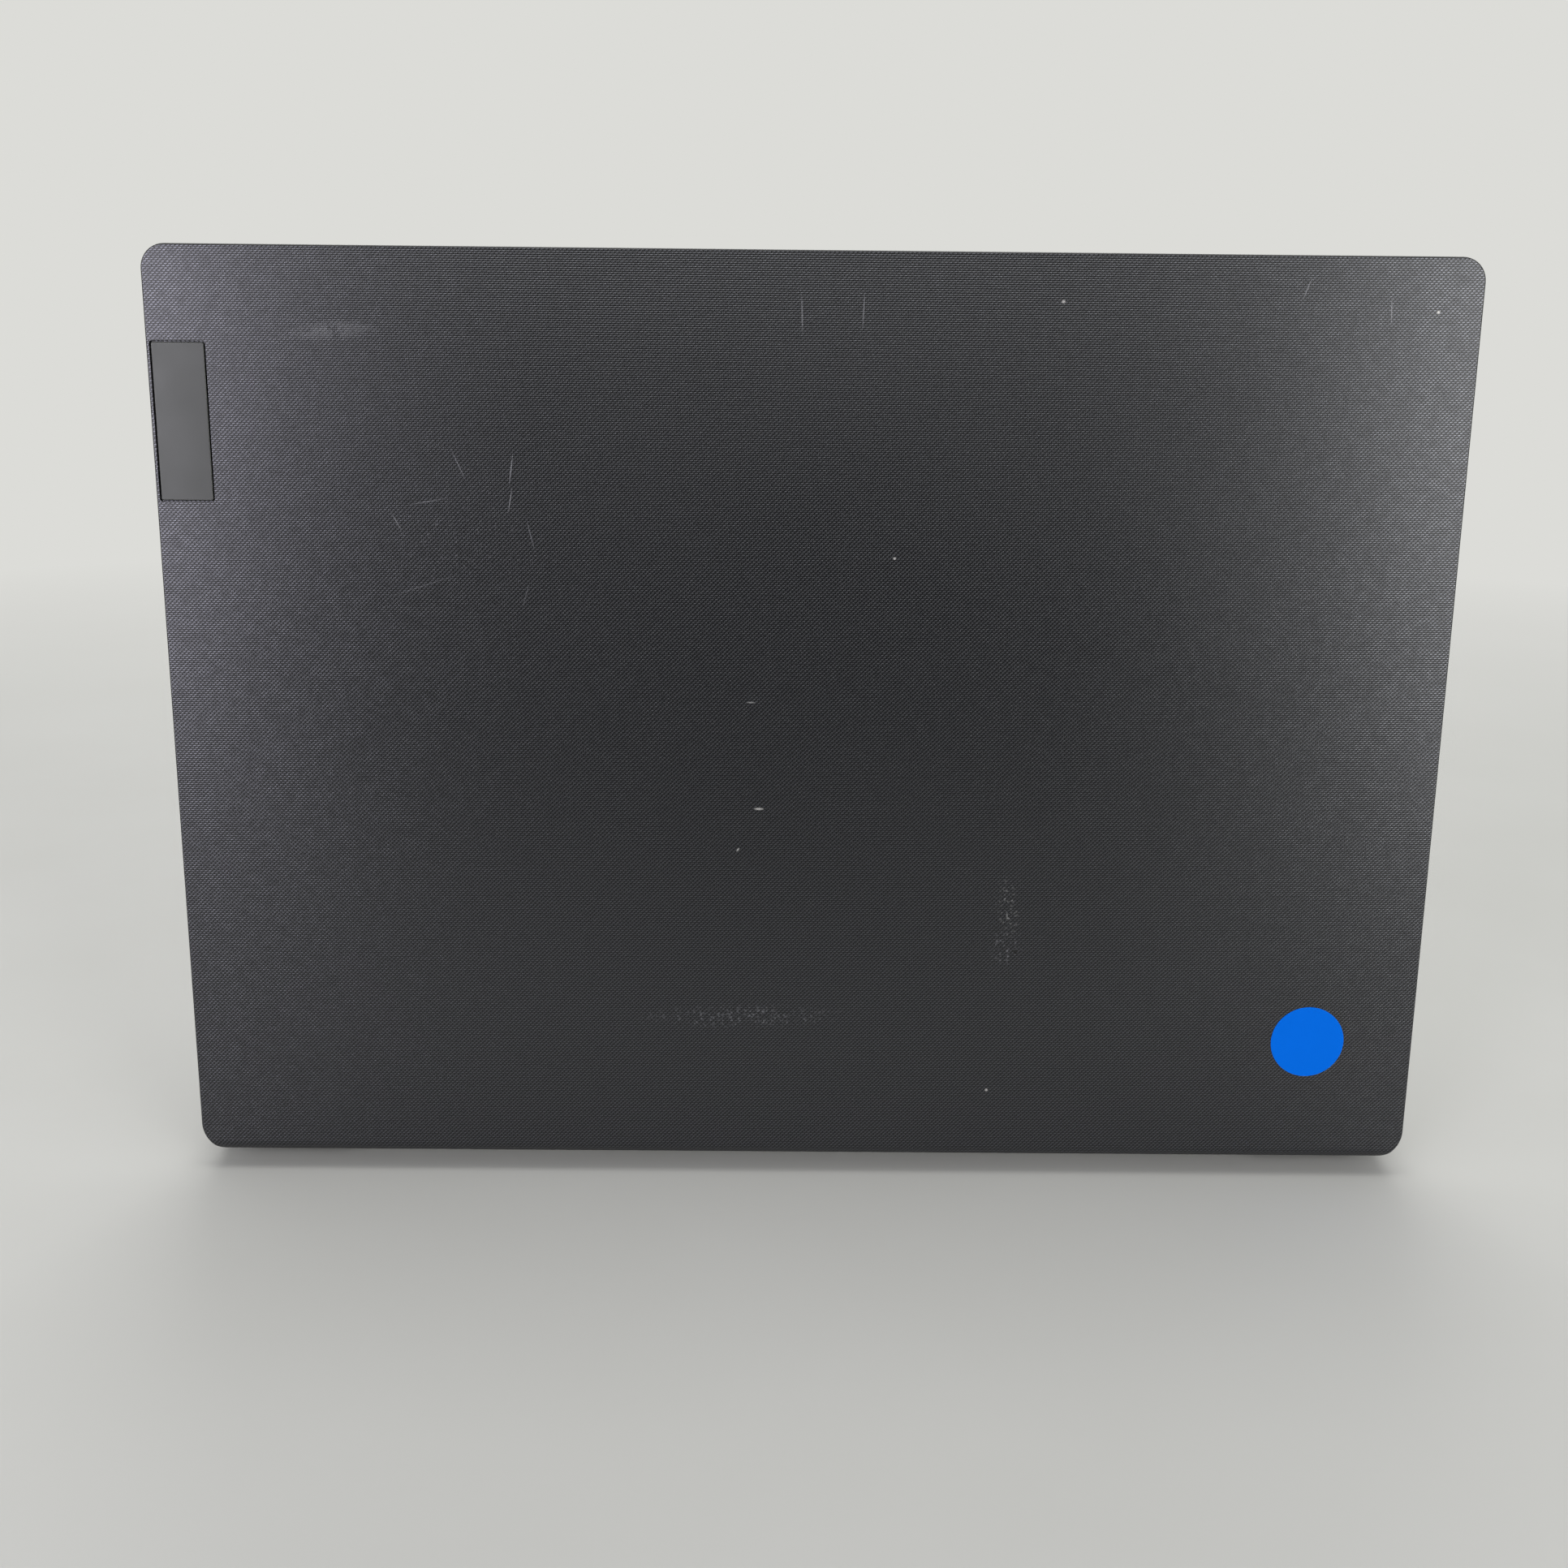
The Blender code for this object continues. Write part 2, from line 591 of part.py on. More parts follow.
def build_top_case(base, look):
    """The palm rest and deck with its side walls, key openings and hinge pockets."""
    half = WIDTH / 2
    rings = []
    for level, inset in ((SEAM, 0), (DECK - DECK_CHAMFER, 0), (DECK, DECK_CHAMFER)):
        outline = rounded(
            inset - half, half - inset, FRONT + inset, -REAR_STEP, BASE_CORNER - inset
        )
        square = [
            (math.copysign(half - inset, x), -REAR_STEP) if y > -REAR_STEP - BASE_CORNER / 2
            else (x, y)
            for x, y in outline
        ]
        rings.append([(x, y, level) for x, y in dict.fromkeys(square)])
    case = piece("top_case", base, look, [rings])
    tail = sideways(tail_profile(), HINGE_TAIL, half - DECK_CHAMFER)
    lip_y = (-REAR_STEP - REAR_WALL, -DECK_LIP)
    join(case, tail, mirrored(tail))
    join(case, block((-HINGE_TAIL - GAP, HINGE_TAIL + GAP), lip_y, (CEILING, DECK)))

    inner = half - SIDE_WALL
    back = -REAR_STEP - REAR_WALL
    hollow = rounded(-inner, inner, FRONT + SIDE_WALL, back, BASE_CORNER - SIDE_WALL)
    cut(case, upright(hollow, SEAM - GAP, WELL_CEILING))
    high = (WELL_CEILING - GAP, CEILING)
    front_y = (FRONT + BASE_CORNER, WELL_Y[0] - 2.0 * MM)
    beside = block((WELL_X + 1.0 * MM, inner - GAP), grown(WELL_Y, 1.0 * MM), high)
    cut(
        case,
        block((BASE_CORNER - half, half - BASE_CORNER), front_y, high),
        block((-inner + GAP, inner - GAP), (WELL_Y[1] + 2.0 * MM, back - GAP), high),
        beside,
        mirrored(beside),
    )
    well = rounded(-WELL_X, WELL_X, *WELL_Y, 2.0 * MM, 2)
    cut(case, upright(well, WELL, DECK + GAP))
    cells = [(x, y) for _, _, x, y in key_cells()]
    arrows = {name: (x, y) for name, x, y in arrow_cells()}
    cells += [arrows["arrow_left"], arrows["arrow_right"]]
    cells.append((arrows["arrow_up"][0], (arrows["arrow_down"][1][0], arrows["arrow_up"][1][1])))
    deep = (WELL_CEILING - GAP, WELL + GAP)
    cut(case, *[block(grown(x, KEY_CLEARANCE), grown(y, KEY_CLEARANCE), deep) for x, y in cells])

    button = circle(half - BUTTON_SIDE, -BUTTON_BACK, BUTTON_RADIUS + GAP)
    pad_x, pad_y = touchpad_area()
    pad = rounded(*grown(pad_x, GAP), *grown(pad_y, GAP), 2.0 * MM, 2)
    deck_z = (CEILING - GAP, DECK + GAP)
    cut(case, upright(button, *deck_z), upright(pad, *deck_z))
    cut(case, *port_holes())
    cut(case, *vent_slots())

    room = (HINGE_TAIL + 0.4 * MM, HINGE_TAIL + KNUCKLE_LENGTH + 2.0 * MM)
    pocket = block(room, (back - 4 * MM, 0), (AXIS_Z - HINGE_RADIUS - GAP, DECK - 0.55 * MM))
    scoop = sideways(circle(0, AXIS_Z, KNUCKLE_RADIUS + GAP), *room)
    hole = sideways(
        circle(0, AXIS_Z, PIN_RADIUS + GAP), HINGE_TAIL - GAP, HINGE_TAIL + 1.0 * MM
    )
    for shape in (pocket, scoop, hole):
        cut(case, shape, mirrored(shape))


def foot_areas():
    """Each rubber foot as (name, x limits, y limits)."""
    rear = (-REAR_STEP - REAR_WALL - FOOT_DEPTH - 1.0 * MM, -REAR_STEP - REAR_WALL - 1.0 * MM)
    front_edge = FRONT + FRONT_TAPER + 4 * MM
    front = (front_edge, front_edge + FOOT_DEPTH)
    areas = []
    for side, sign in (("left", -1), ("right", 1)):
        for end, y, middle, length in (
            ("rear", rear, REAR_FOOT_X, REAR_FOOT), ("front", front, FRONT_FOOT_X, FRONT_FOOT)
        ):
            x = sorted((sign * (middle - length / 2), sign * (middle + length / 2)))
            areas.append((f"foot_{end}_{side}", tuple(x), y))
    return areas


def build_bottom_cover(base, looks):
    """The tapered tray with its air slots, and the four feet let into it."""
    half = WIDTH / 2

    def ring(level, share, wall):
        inset = SIDE_TAPER * share + wall
        front = FRONT + FRONT_TAPER * share + wall
        rear = -REAR_STEP - (REAR_WALL if wall else 0)
        outline = rounded(inset - half, half - inset, front, rear, BASE_CORNER - wall)
        return [(x, y, level) for x, y in outline]

    top = SEAM - GAP
    middle = FOOT_HEIGHT + 0.45 * (top - FOOT_HEIGHT)
    shares = ((FOOT_HEIGHT, 1.0), (middle, 0.32), (top, 0.03))
    cover = piece(
        "bottom_cover", base, looks["charcoal"], [[ring(level, share, 0) for level, share in shares]]
    )
    hollow = [
        ring(FLOOR, 1.0, 1.0 * MM), ring(middle + 0.9 * MM, 0.32, 1.4 * MM),
        ring(top + GAP, 0.12, SIDE_WALL),
    ]
    cut(cover, hollow)
    pockets = [
        block(grown(x, GAP), grown(y, GAP), (0, FOOT_HEIGHT + FOOT_SUNK)) for _, x, y in foot_areas()
    ]
    under = (FOOT_HEIGHT - GAP, FLOOR + GAP)
    intake = []
    for number in range(9):
        y = FAN_Y + (number - 4) * 4.4 * MM
        intake.append(block(grown((FAN_X, FAN_X), 19 * MM), grown((y, y), 1.1 * MM), under))
    speaker = []
    for number in range(7):
        x = 120 * MM + number * 3.6 * MM
        slot = block(grown((x, x), 0.8 * MM), (FRONT + 28 * MM, FRONT + 38 * MM), under)
        speaker += [slot, mirrored(slot)]
    cut(cover, *pockets, *intake, *speaker)
    cut(cover, *vent_slots())
    for name, x, y in foot_areas():
        foot = rounded(*x, *y, 2.0 * MM, 3)
        piece(name, base, looks["rubber"], [upright(foot, 0, FOOT_HEIGHT + FOOT_SUNK - GAP)])


def touchpad_area():
    """The touchpad's x and y limits."""
    y = (FRONT + PALM_FRONT, KEYBOARD_FRONT - PALM_REAR)
    return grown((TOUCHPAD_SHIFT, TOUCHPAD_SHIFT), TOUCHPAD_WIDTH / 2), y


def build_controls(base, looks):
    """The keyboard's back plate, the keys, the touchpad and the power button."""
    plate = block((-WELL_X, WELL_X), WELL_Y, (PLATE_TOP - PLATE_THICKNESS, PLATE_TOP))
    piece("keyboard_plate", base, looks["steel"], [plate])
    build_keys(base, looks["key"])
    x, y = touchpad_area()
    top = DECK - TOUCHPAD_SUNK
    outline = rounded(*x, *y, 2.0 * MM, 2)
    pad = upright(outline, top - TOUCHPAD_THICKNESS, top)
    hinge = (sum(x) / 2, y[1], top - TOUCHPAD_THICKNESS)
    piece("touchpad", base, looks["key"], [pad], hinge)
    centre = (WIDTH / 2 - BUTTON_SIDE, -BUTTON_BACK)
    low = CEILING - GAP
    cap = upright(circle(*centre, BUTTON_RADIUS), low - 0.2 * MM, low + BUTTON_HEIGHT)
    button = piece("power_button", base, looks["key"], [cap], (*centre, low))
    join(button, upright(circle(*centre, BUTTON_RADIUS + BUTTON_FLANGE), low - 0.5 * MM, low))


def build_ports(base, looks):
    """The socket blocks behind the side walls."""
    front = -(WIDTH / 2 - SIDE_WALL - GAP)
    back = front + PORT_DEPTH
    for name, y in LEFT_PORTS:
        if name in ("dc_jack", "audio_jack"):
            bore = 2.75 * MM if name == "dc_jack" else 1.85 * MM
            width = 4.6 * MM if name == "dc_jack" else 3.4 * MM
            shell = block((front, back), grown((y, y), width), grown((PORT_Z, PORT_Z), 2.85 * MM))
            socket = piece(name, base, looks["port"], [shell])
            cut(socket, sideways(circle(y, PORT_Z, bore, 20), front - GAP, back - 2 * MM))
            if name == "dc_jack":
                pin = sideways(circle(y, PORT_Z, 0.8 * MM, 10), front + 2 * MM, back - 1 * MM)
                join(socket, pin)
            continue
        width, height = (14.6 * MM, 4.9 * MM) if name == "hdmi_port" else (12.6 * MM, 4.8 * MM)
        skin = 0.35 * MM
        y_in, z_in = grown((y, y), width / 2), grown((PORT_Z, PORT_Z), height / 2)
        shell = block((front, back), grown(y_in, skin), grown(z_in, skin))
        socket = piece(name, base, looks["shell"], [shell])
        cut(socket, block((front - GAP, back - 2 * MM), y_in, z_in))
        tongue_z = (PORT_Z - 0.8 * MM, PORT_Z + 0.8 * MM) if name == "hdmi_port" else (
            PORT_Z + 0.4 * MM, PORT_Z + 2.0 * MM
        )
        tongue_y = grown((y, y), width / 2 - 0.8 * MM)
        join(socket, block((front + 0.6 * MM, back - 1 * MM), tongue_y, tongue_z))
    limits = grown((PORT_Z, PORT_Z), 1.3 * MM)
    reader_x = (-front - CARD_DEPTH, -front)
    shell = block(reader_x, grown((CARD_Y, CARD_Y), CARD_HALF), grown(limits, 0.5 * MM))
    reader = piece("card_reader", base, looks["shell"], [shell])
    slot_x = (reader_x[0] + 2 * MM, reader_x[1] + GAP)
    cut(reader, block(slot_x, grown((CARD_Y, CARD_Y), 12.3 * MM), limits))


def build_fan(base, looks):
    """The blower's housing, open below and to the rear, and the wheel inside it."""
    z0 = FLOOR + GAP
    z1 = z0 + FAN_HEIGHT
    inside = (z0 + FAN_WALL, z1 - FAN_WALL)
    x, y = grown((FAN_X, FAN_X), FAN_SIZE / 2), grown((FAN_Y, FAN_Y), FAN_SIZE / 2)
    housing = piece("fan_housing", base, looks["port"], [block(x, y, (z0, z1))])
    cut(housing, upright(circle(FAN_X, FAN_Y, ROTOR_RADIUS + 1.5 * MM, 32), *inside))
    cut(housing, block(grown((FAN_X, FAN_X), 22 * MM), (FAN_Y, y[1] + GAP), inside))
    intake = circle(FAN_X, FAN_Y, 0.68 * ROTOR_RADIUS, 32)
    cut(housing, upright(intake, z0 - GAP, inside[0] + GAP))

    low, high = inside[0] + ROTOR_CLEARANCE, inside[1] - ROTOR_CLEARANCE
    hub = upright(circle(FAN_X, FAN_Y, HUB_RADIUS), low, high)
    rotor = piece("fan_rotor", base, looks["key"], [hub], (FAN_X, FAN_Y, low))
    blades = []
    for number in range(BLADES):
        turn = 2 * math.pi * number / BLADES
        corners = []
        for reach, offset in (
            (HUB_RADIUS - 1 * MM, -0.4), (ROTOR_RADIUS, 2.6), (ROTOR_RADIUS, 3.4),
            (HUB_RADIUS - 1 * MM, 0.4),
        ):
            across = offset * MM
            along = math.sqrt(reach * reach - across * across)
            corners.append((
                FAN_X + along * math.cos(turn) - across * math.sin(turn),
                FAN_Y + along * math.sin(turn) + across * math.cos(turn),
            ))
        blades.append(upright(corners, low + 0.1 * MM, high - 0.1 * MM))
    join(rotor, *blades)


def build_cooler(base, looks):
    """The fins behind the blower, the heat pipe and the plate on the processor."""
    pipe_z = (FLOOR + GAP, FLOOR + GAP + PIPE_THICKNESS)
    plate_z = (pipe_z[1] + GAP, BOARD_BOTTOM - GAP)
    rear = -REAR_STEP - REAR_WALL - GAP
    front = rear - FIN_DEPTH
    plate_x, plate_y = (-35 * MM, 5 * MM), (-66 * MM, -32 * MM)
    x0 = sum(plate_x) / 2 - PIPE_WIDTH / 2
    x1 = FAN_X + FAN_SIZE / 2 - 4 * MM
    bend = 3 * MM
    route = [
        (x0, plate_y[0] + 4 * MM), (x0 + PIPE_WIDTH, plate_y[0] + 4 * MM),
        (x0 + PIPE_WIDTH, front - bend), (x0 + PIPE_WIDTH + bend, front), (x1, front),
        (x1, front + PIPE_WIDTH), (x0 + bend, front + PIPE_WIDTH),
        (x0, front + PIPE_WIDTH - bend),
    ]
    piece("heat_pipe", base, looks["copper"], [upright(route, *pipe_z)])
    piece("processor_plate", base, looks["copper"], [block(plate_x, plate_y, plate_z)])

    fin_z = (pipe_z[1] + GAP, AXIS_Z - 1.0 * MM)
    width = FIN_PITCH * (FINS - 1) + FIN_THICKNESS
    x = grown((FAN_X, FAN_X), width / 2)
    sole = block(x, (front, rear), (fin_z[0], fin_z[0] + 0.5 * MM))
    fins = piece("cooling_fins", base, looks["steel"], [sole])
    sheets = []
    for number in range(FINS):
        left = x[0] + FIN_PITCH * number
        z = (fin_z[0] + 0.2 * MM, fin_z[1])
        sheets.append(block((left, left + FIN_THICKNESS), (front + 0.1 * MM, rear - 0.1 * MM), z))
    join(fins, *sheets)


def build_inside(base, looks):
    """The board, its cards, the battery and the speakers."""
    board_y = (WELL_Y[0] + 4 * MM, -REAR_STEP - REAR_WALL - 12 * MM)
    board_x = (-WELL_X, FAN_X - FAN_SIZE / 2 - 3 * MM)
    board = block(board_x, board_y, (BOARD_BOTTOM, BOARD_TOP))
    piece("main_board", base, looks["board"], [board])
    high = BOARD_BOTTOM - GAP
    cards = (
        ("memory_module", (-112 * MM, -42 * MM), (-103 * MM, -73 * MM), 2.2 * MM, "board"),
        ("storage_drive", (-34 * MM, 46 * MM), (-103 * MM, -81 * MM), 2.2 * MM, "board"),
        ("wireless_card", (-138 * MM, -116 * MM), (-64 * MM, -34 * MM), 1.8 * MM, "shell"),
    )
    for name, x, y, height, look in cards:
        piece(name, base, looks[look], [block(x, y, (high - height, high))])
    low = FLOOR + GAP
    cell_y = (FRONT + FRONT_TAPER + 8 * MM, WELL_Y[0] - 3 * MM)
    cell_x = (-BATTERY_WIDTH / 2, BATTERY_WIDTH / 2)
    piece("battery", base, looks["port"], [block(cell_x, cell_y, (low, low + BATTERY_HEIGHT))])
    box_y = (FRONT + FRONT_TAPER + 12 * MM, FRONT + FRONT_TAPER + 34 * MM)
    box_x = (BATTERY_WIDTH / 2 + 5 * MM, WIDTH / 2 - SIDE_WALL - 3 * GAP - CARD_DEPTH)
    box = block(box_x, box_y, (low, low + 5 * MM))
    piece("speaker_right", base, looks["port"], [box])
    piece("speaker_left", base, looks["port"], [mirrored(box)])


def main():
    """Builds the whole computer with its lid standing open."""
    clear_scene()
    looks = {
        "charcoal": material("charcoal_plastic", (0.045, 0.045, 0.048), 0.55),
        "badge": material("satin_badge", (0.25, 0.25, 0.24), 0.35, 0.8),
        "black": material("black_plastic", (0.012, 0.012, 0.013), 0.5),
        "screen": material("screen_glass", (0.01, 0.01, 0.012), 0.25),
        "lens": material("dark_lens", (0.01, 0.01, 0.015), 0.2),
        "key": material("key_plastic", (0.02, 0.02, 0.022), 0.5),
        "rubber": material("foot_rubber", (0.015, 0.015, 0.015), 0.8),
        "steel": material("bright_steel", (0.55, 0.55, 0.56), 0.35, 1.0),
        "copper": material("copper", (0.72, 0.35, 0.2), 0.35, 1.0),
        "board": material("board_laminate", (0.01, 0.06, 0.03), 0.5),
        "port": material("moulded_socket", (0.02, 0.02, 0.02), 0.5),
        "shell": material("plated_shell", (0.6, 0.6, 0.6), 0.3, 1.0),
    }
    base = empty("base_frame", (0, AXIS_Y, 0))
    lid = empty("lid_frame", (0, AXIS_Y, AXIS_Z), -LID_OPEN)
    build_lid(lid, looks)
    build_hinges(lid, base, looks["steel"])
    build_top_case(base, looks["charcoal"])
    build_bottom_cover(base, looks)
    build_controls(base, looks)
    build_ports(base, looks)
    build_fan(base, looks)
    build_cooler(base, looks)
    build_inside(base, looks)


main()
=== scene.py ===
"""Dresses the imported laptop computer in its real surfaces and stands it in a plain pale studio."""

import json
import logging
import math
from dataclasses import dataclass, field
from enum import Enum
from typing import Any, Callable, Sequence

import bmesh
import bpy
from mathutils import Matrix, Vector


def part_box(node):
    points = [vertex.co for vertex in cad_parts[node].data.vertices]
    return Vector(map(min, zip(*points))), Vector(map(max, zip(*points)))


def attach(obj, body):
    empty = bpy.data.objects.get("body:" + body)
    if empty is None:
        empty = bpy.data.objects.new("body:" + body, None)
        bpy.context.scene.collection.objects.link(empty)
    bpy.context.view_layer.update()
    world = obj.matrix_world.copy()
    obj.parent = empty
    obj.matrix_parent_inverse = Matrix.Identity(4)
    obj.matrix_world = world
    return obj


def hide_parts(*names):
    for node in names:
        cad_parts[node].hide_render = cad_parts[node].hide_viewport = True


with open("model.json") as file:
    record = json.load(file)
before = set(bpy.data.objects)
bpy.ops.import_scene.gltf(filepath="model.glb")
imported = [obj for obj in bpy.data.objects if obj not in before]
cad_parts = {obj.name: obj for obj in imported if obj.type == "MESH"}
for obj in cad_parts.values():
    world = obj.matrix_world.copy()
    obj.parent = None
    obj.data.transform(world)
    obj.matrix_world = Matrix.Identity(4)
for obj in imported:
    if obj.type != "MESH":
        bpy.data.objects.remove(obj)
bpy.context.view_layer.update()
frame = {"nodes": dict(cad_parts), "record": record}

log = logging.getLogger("laptop")

MM = 0.001
Point = tuple[float, float, float]
Test = Callable[[Vector, Vector], bool]


# ---------------------------------------------------------------- finishes


def linear(code: str) -> tuple[float, float, float, float]:
    """Turns an sRGB hex colour into the linear colour that a shader takes.

    Args:
        code: six hex digits, with or without a leading #.

    Returns:
        Red, green, blue and an alpha of 1.
    """
    parts = [int(code.lstrip("#")[i : i + 2], 16) / 255 for i in (0, 2, 4)]
    bright = [p / 12.92 if p <= 0.04045 else ((p + 0.055) / 1.055) ** 2.4 for p in parts]
    return bright[0], bright[1], bright[2], 1.0


def add(tree: bpy.types.NodeTree, kind: str, inputs: dict[Any, Any], **settings: Any) -> Any:
    """Adds one node with its settings, and gives or links each of its inputs.

    Args:
        tree: the material's node tree.
        kind: the node's type name, without its ShaderNode prefix.
        inputs: input name or number to a value, or to the socket that feeds it.
        **settings: the node's own properties.

    Returns:
        The new node.
    """
    made = tree.nodes.new("ShaderNode" + kind)
    for name, value in settings.items():
        setattr(made, name, value)
    for name, value in inputs.items():
        if isinstance(value, bpy.types.NodeSocket):
            tree.links.new(value, made.inputs[name])
        else:
            made.inputs[name].default_value = value
    return made


@dataclass(frozen=True)
class Finish:
    """A finish, built once and shared by the pieces that wear it.

    Attributes:
        name: the real material and how its surface was made.
        slot: the record's material slot that it belongs to, or nothing where there is none; not used.
    """

    name: str
    slot: str

    def make(self) -> bpy.types.Material:
        """Returns the finish's material, building it the first time."""
        found = bpy.data.materials.get(self.name)
        if found:
            return found
        made = bpy.data.materials.new(self.name)
        made.use_nodes = True
        tree = made.node_tree
        self.wire(tree, tree.nodes["Principled BSDF"])
        return made

    def wire(self, tree: bpy.types.NodeTree, shader: Any) -> None:
        """Wires the finish into a new material's tree.

        Args:
            tree: the material's node tree.
            shader: its surface shader.
        """
        raise NotImplementedError


@dataclass(frozen=True)
class Mark:
    """A worn or soiled place on the lid's back.

    Attributes:
        place: the mark's middle in millimetres, along the lid and down from its top.
        reach: how far it spreads each way, in millimetres.
        turn: how far it is turned, in degrees.
        tone: the hex colour that the mark turns the plastic.
        depth: how much of that colour it takes, from 0 to 1.
        grain: how many flecks a millimetre holds.
        clean: the part of the place that stays clean, from 0 to 1.
    """

    place: tuple[float, float]
    reach: tuple[float, float]
    turn: float = 0.0
    tone: str = "#8b8b8e"
    depth: float = 0.5
    grain: float = 1.0
    clean: float = 0.0


@dataclass(frozen=True)
class TwillAbs(Finish):
    """ABS moulded against an etched twill: short raised dashes in rows that step aside.

    The dashes' crests catch the light one by one, so the charcoal looks like cloth from close by
    and satin from far off. Their sheen is drawn with a share of metal, as a fine flake in the
    plastic would give. Real dashes repeat every 1.0 mm in rows 0.47 mm apart; they are drawn a
    tenth coarser, because the real rows are too fine to show.
    """

    valley: str = "#0a0b0d"
    crest: str = "#5f6064"
    polish: float = 0.21
    rim_rough: float = 0.5
    relief: float = 0.022 * MM
    repeat: float = 1.1 * MM
    row: float = 0.53 * MM
    uneven: float = 2.0 * MM
    rub: float = 71.4 * MM
    rub_rough: tuple[float, float] = (0.21, 0.26)
    lean: float = 0.0
    top: float = 0.0
    marks: tuple[Mark, ...] = ()

    def wire(self, tree: bpy.types.NodeTree, shader: Any) -> None:
        """Crosses a slanting wave with a level one for the dashes, then adds wear.

        Args:
            tree: the material's node tree.
            shader: its surface shader.
        """
        place = add(tree, "TexCoord", {})
        flat = add(tree, "Mapping", {"Vector": place.outputs["Object"], "Rotation": (self.lean, 0, 0)})
        axes = add(tree, "SeparateXYZ", {"Vector": flat.outputs[0]})
        turn = 2 * math.pi
        aside = add(tree, "Math", {0: axes.outputs["X"], 1: turn / self.repeat}, operation="MULTIPLY")
        lift = add(
            tree, "Math", {0: axes.outputs["Z"], 1: turn / self.repeat, 2: aside.outputs[0]},
            operation="MULTIPLY_ADD",
        )
        rows = add(tree, "Math", {0: axes.outputs["Z"], 1: turn / self.row}, operation="MULTIPLY")
        slant = add(tree, "Math", {0: lift.outputs[0]}, operation="SINE")
        level = add(tree, "Math", {0: rows.outputs[0]}, operation="SINE")
        slant = add(tree, "MapRange", {0: slant.outputs[0], 1: -1.0, 2: 1.0})
        level = add(tree, "MapRange", {0: level.outputs[0], 1: -1.0, 2: 1.0})
        dash = add(tree, "Math", {0: slant.outputs[0], 1: level.outputs[0]}, operation="MULTIPLY")
        back = (0.0, math.cos(self.lean), -math.sin(self.lean))
        facing = add(tree, "VectorMath", {0: place.outputs["Normal"], 1: back}, operation="DOT_PRODUCT")
        facing = add(tree, "MapRange", {0: facing.outputs["Value"], 1: 0.6, 2: 0.95})
        dash = add(
            tree, "MapRange", {0: dash.outputs[0], 1: 0.12, 2: 0.5, 4: facing.outputs[0]},
            interpolation_type="SMOOTHSTEP",
        )
        uneven = add(
            tree, "TexNoise", {"Vector": flat.outputs[0], "Scale": 1 / self.uneven, "Detail": 2.0}
        )
        crest = add(tree, "MapRange", {0: uneven.outputs["Fac"], 1: 0.3, 2: 0.7, 3: 0.65, 4: 1.0})
        dash = add(tree, "Math", {0: dash.outputs[0], 1: crest.outputs[0]}, operation="MULTIPLY")
        colour = add(
            tree, "Mix", {0: dash.outputs[0], 6: linear(self.valley), 7: linear(self.crest)},
            data_type="RGBA",
        ).outputs[2]
        flake = dash.outputs[0]
        for mark in self.marks:
            colour, flake = self.soil(tree, flat.outputs[0], colour, flake, mark)
        rub = add(
            tree, "TexNoise", {"Vector": flat.outputs[0], "Scale": 1 / self.rub, "Detail": 3.0}
        )
        least, most = self.rub_rough
        valley = add(tree, "MapRange", {0: rub.outputs["Fac"], 1: 0.3, 2: 0.7, 3: least, 4: most})
        rough = add(tree, "MapRange", {0: dash.outputs[0], 3: valley.outputs[0], 4: self.polish})
        rough = add(tree, "MapRange", {0: facing.outputs[0], 3: self.rim_rough, 4: rough.outputs[0]})
        rows = add(tree, "Math", {0: level.outputs[0], 1: facing.outputs[0]}, operation="MULTIPLY")
        ridge = add(
            tree, "Math", {0: dash.outputs[0], 1: 0.6, 2: rows.outputs[0]}, operation="MULTIPLY_ADD"
        )
        bump = add(
            tree, "Bump", {"Height": ridge.outputs[0], "Strength": 0.7, "Distance": self.relief}
        )
        tree.links.new(colour, shader.inputs["Base Color"])
        tree.links.new(flake, shader.inputs["Metallic"])
        tree.links.new(rough.outputs[0], shader.inputs["Roughness"])
        tree.links.new(bump.outputs[0], shader.inputs["Normal"])
        shader.inputs["IOR"].default_value = 1.45

    def soil(
        self, tree: bpy.types.NodeTree, place: Any, colour: Any, flake: Any, mark: Mark
    ) -> tuple[Any, Any]:
        """Lays one mark's flecks over the colour.

        Args:
            tree: the material's node tree.
            place: the socket with the place along the lid.
            colour: the socket with the colour so far.
            flake: the socket with the share of metal flake so far.
            mark: the mark to add.

        Returns:
            The sockets with the marked colour, and with the flake that the mark leaves bare.
        """
        across, down = mark.place
        near = add(
            tree, "Mapping",
            {
                "Vector": place,
                "Location": (across * MM, 0.0, self.top - down * MM),
                "Rotation": (0.0, math.radians(mark.turn), 0.0),
                "Scale": (mark.reach[0] * MM, 1.0, mark.reach[1] * MM),
            },
            vector_type="TEXTURE",
        )
        near = add(tree, "VectorMath", {0: near.outputs[0], 1: (1, 0, 1)}, operation="MULTIPLY")
        far = add(tree, "VectorMath", {0: near.outputs[0]}, operation="LENGTH")
        inside = add(tree, "MapRange", {0: far.outputs["Value"], 1: 1.0, 2: 0.3, 4: mark.depth})
        flecks = add(tree, "TexNoise", {"Vector": place, "Scale": mark.grain / MM, "Detail": 2.0})
        worn = add(
            tree, "MapRange", {0: flecks.outputs["Fac"], 1: mark.clean, 2: mark.clean + 0.14}
        )
        both = add(tree, "Math", {0: inside.outputs[0], 1: worn.outputs[0]}, operation="MULTIPLY")
        marked = add(
            tree, "Mix", {0: both.outputs[0], 6: colour, 7: linear(mark.tone)}, data_type="RGBA"
        )
        bare = add(tree, "MapRange", {0: both.outputs[0], 2: 0.3, 3: 1.0, 4: 0.0})
        left = add(tree, "Math", {0: flake, 1: bare.outputs[0]}, operation="MULTIPLY")
        return marked.outputs[2], left.outputs[0]


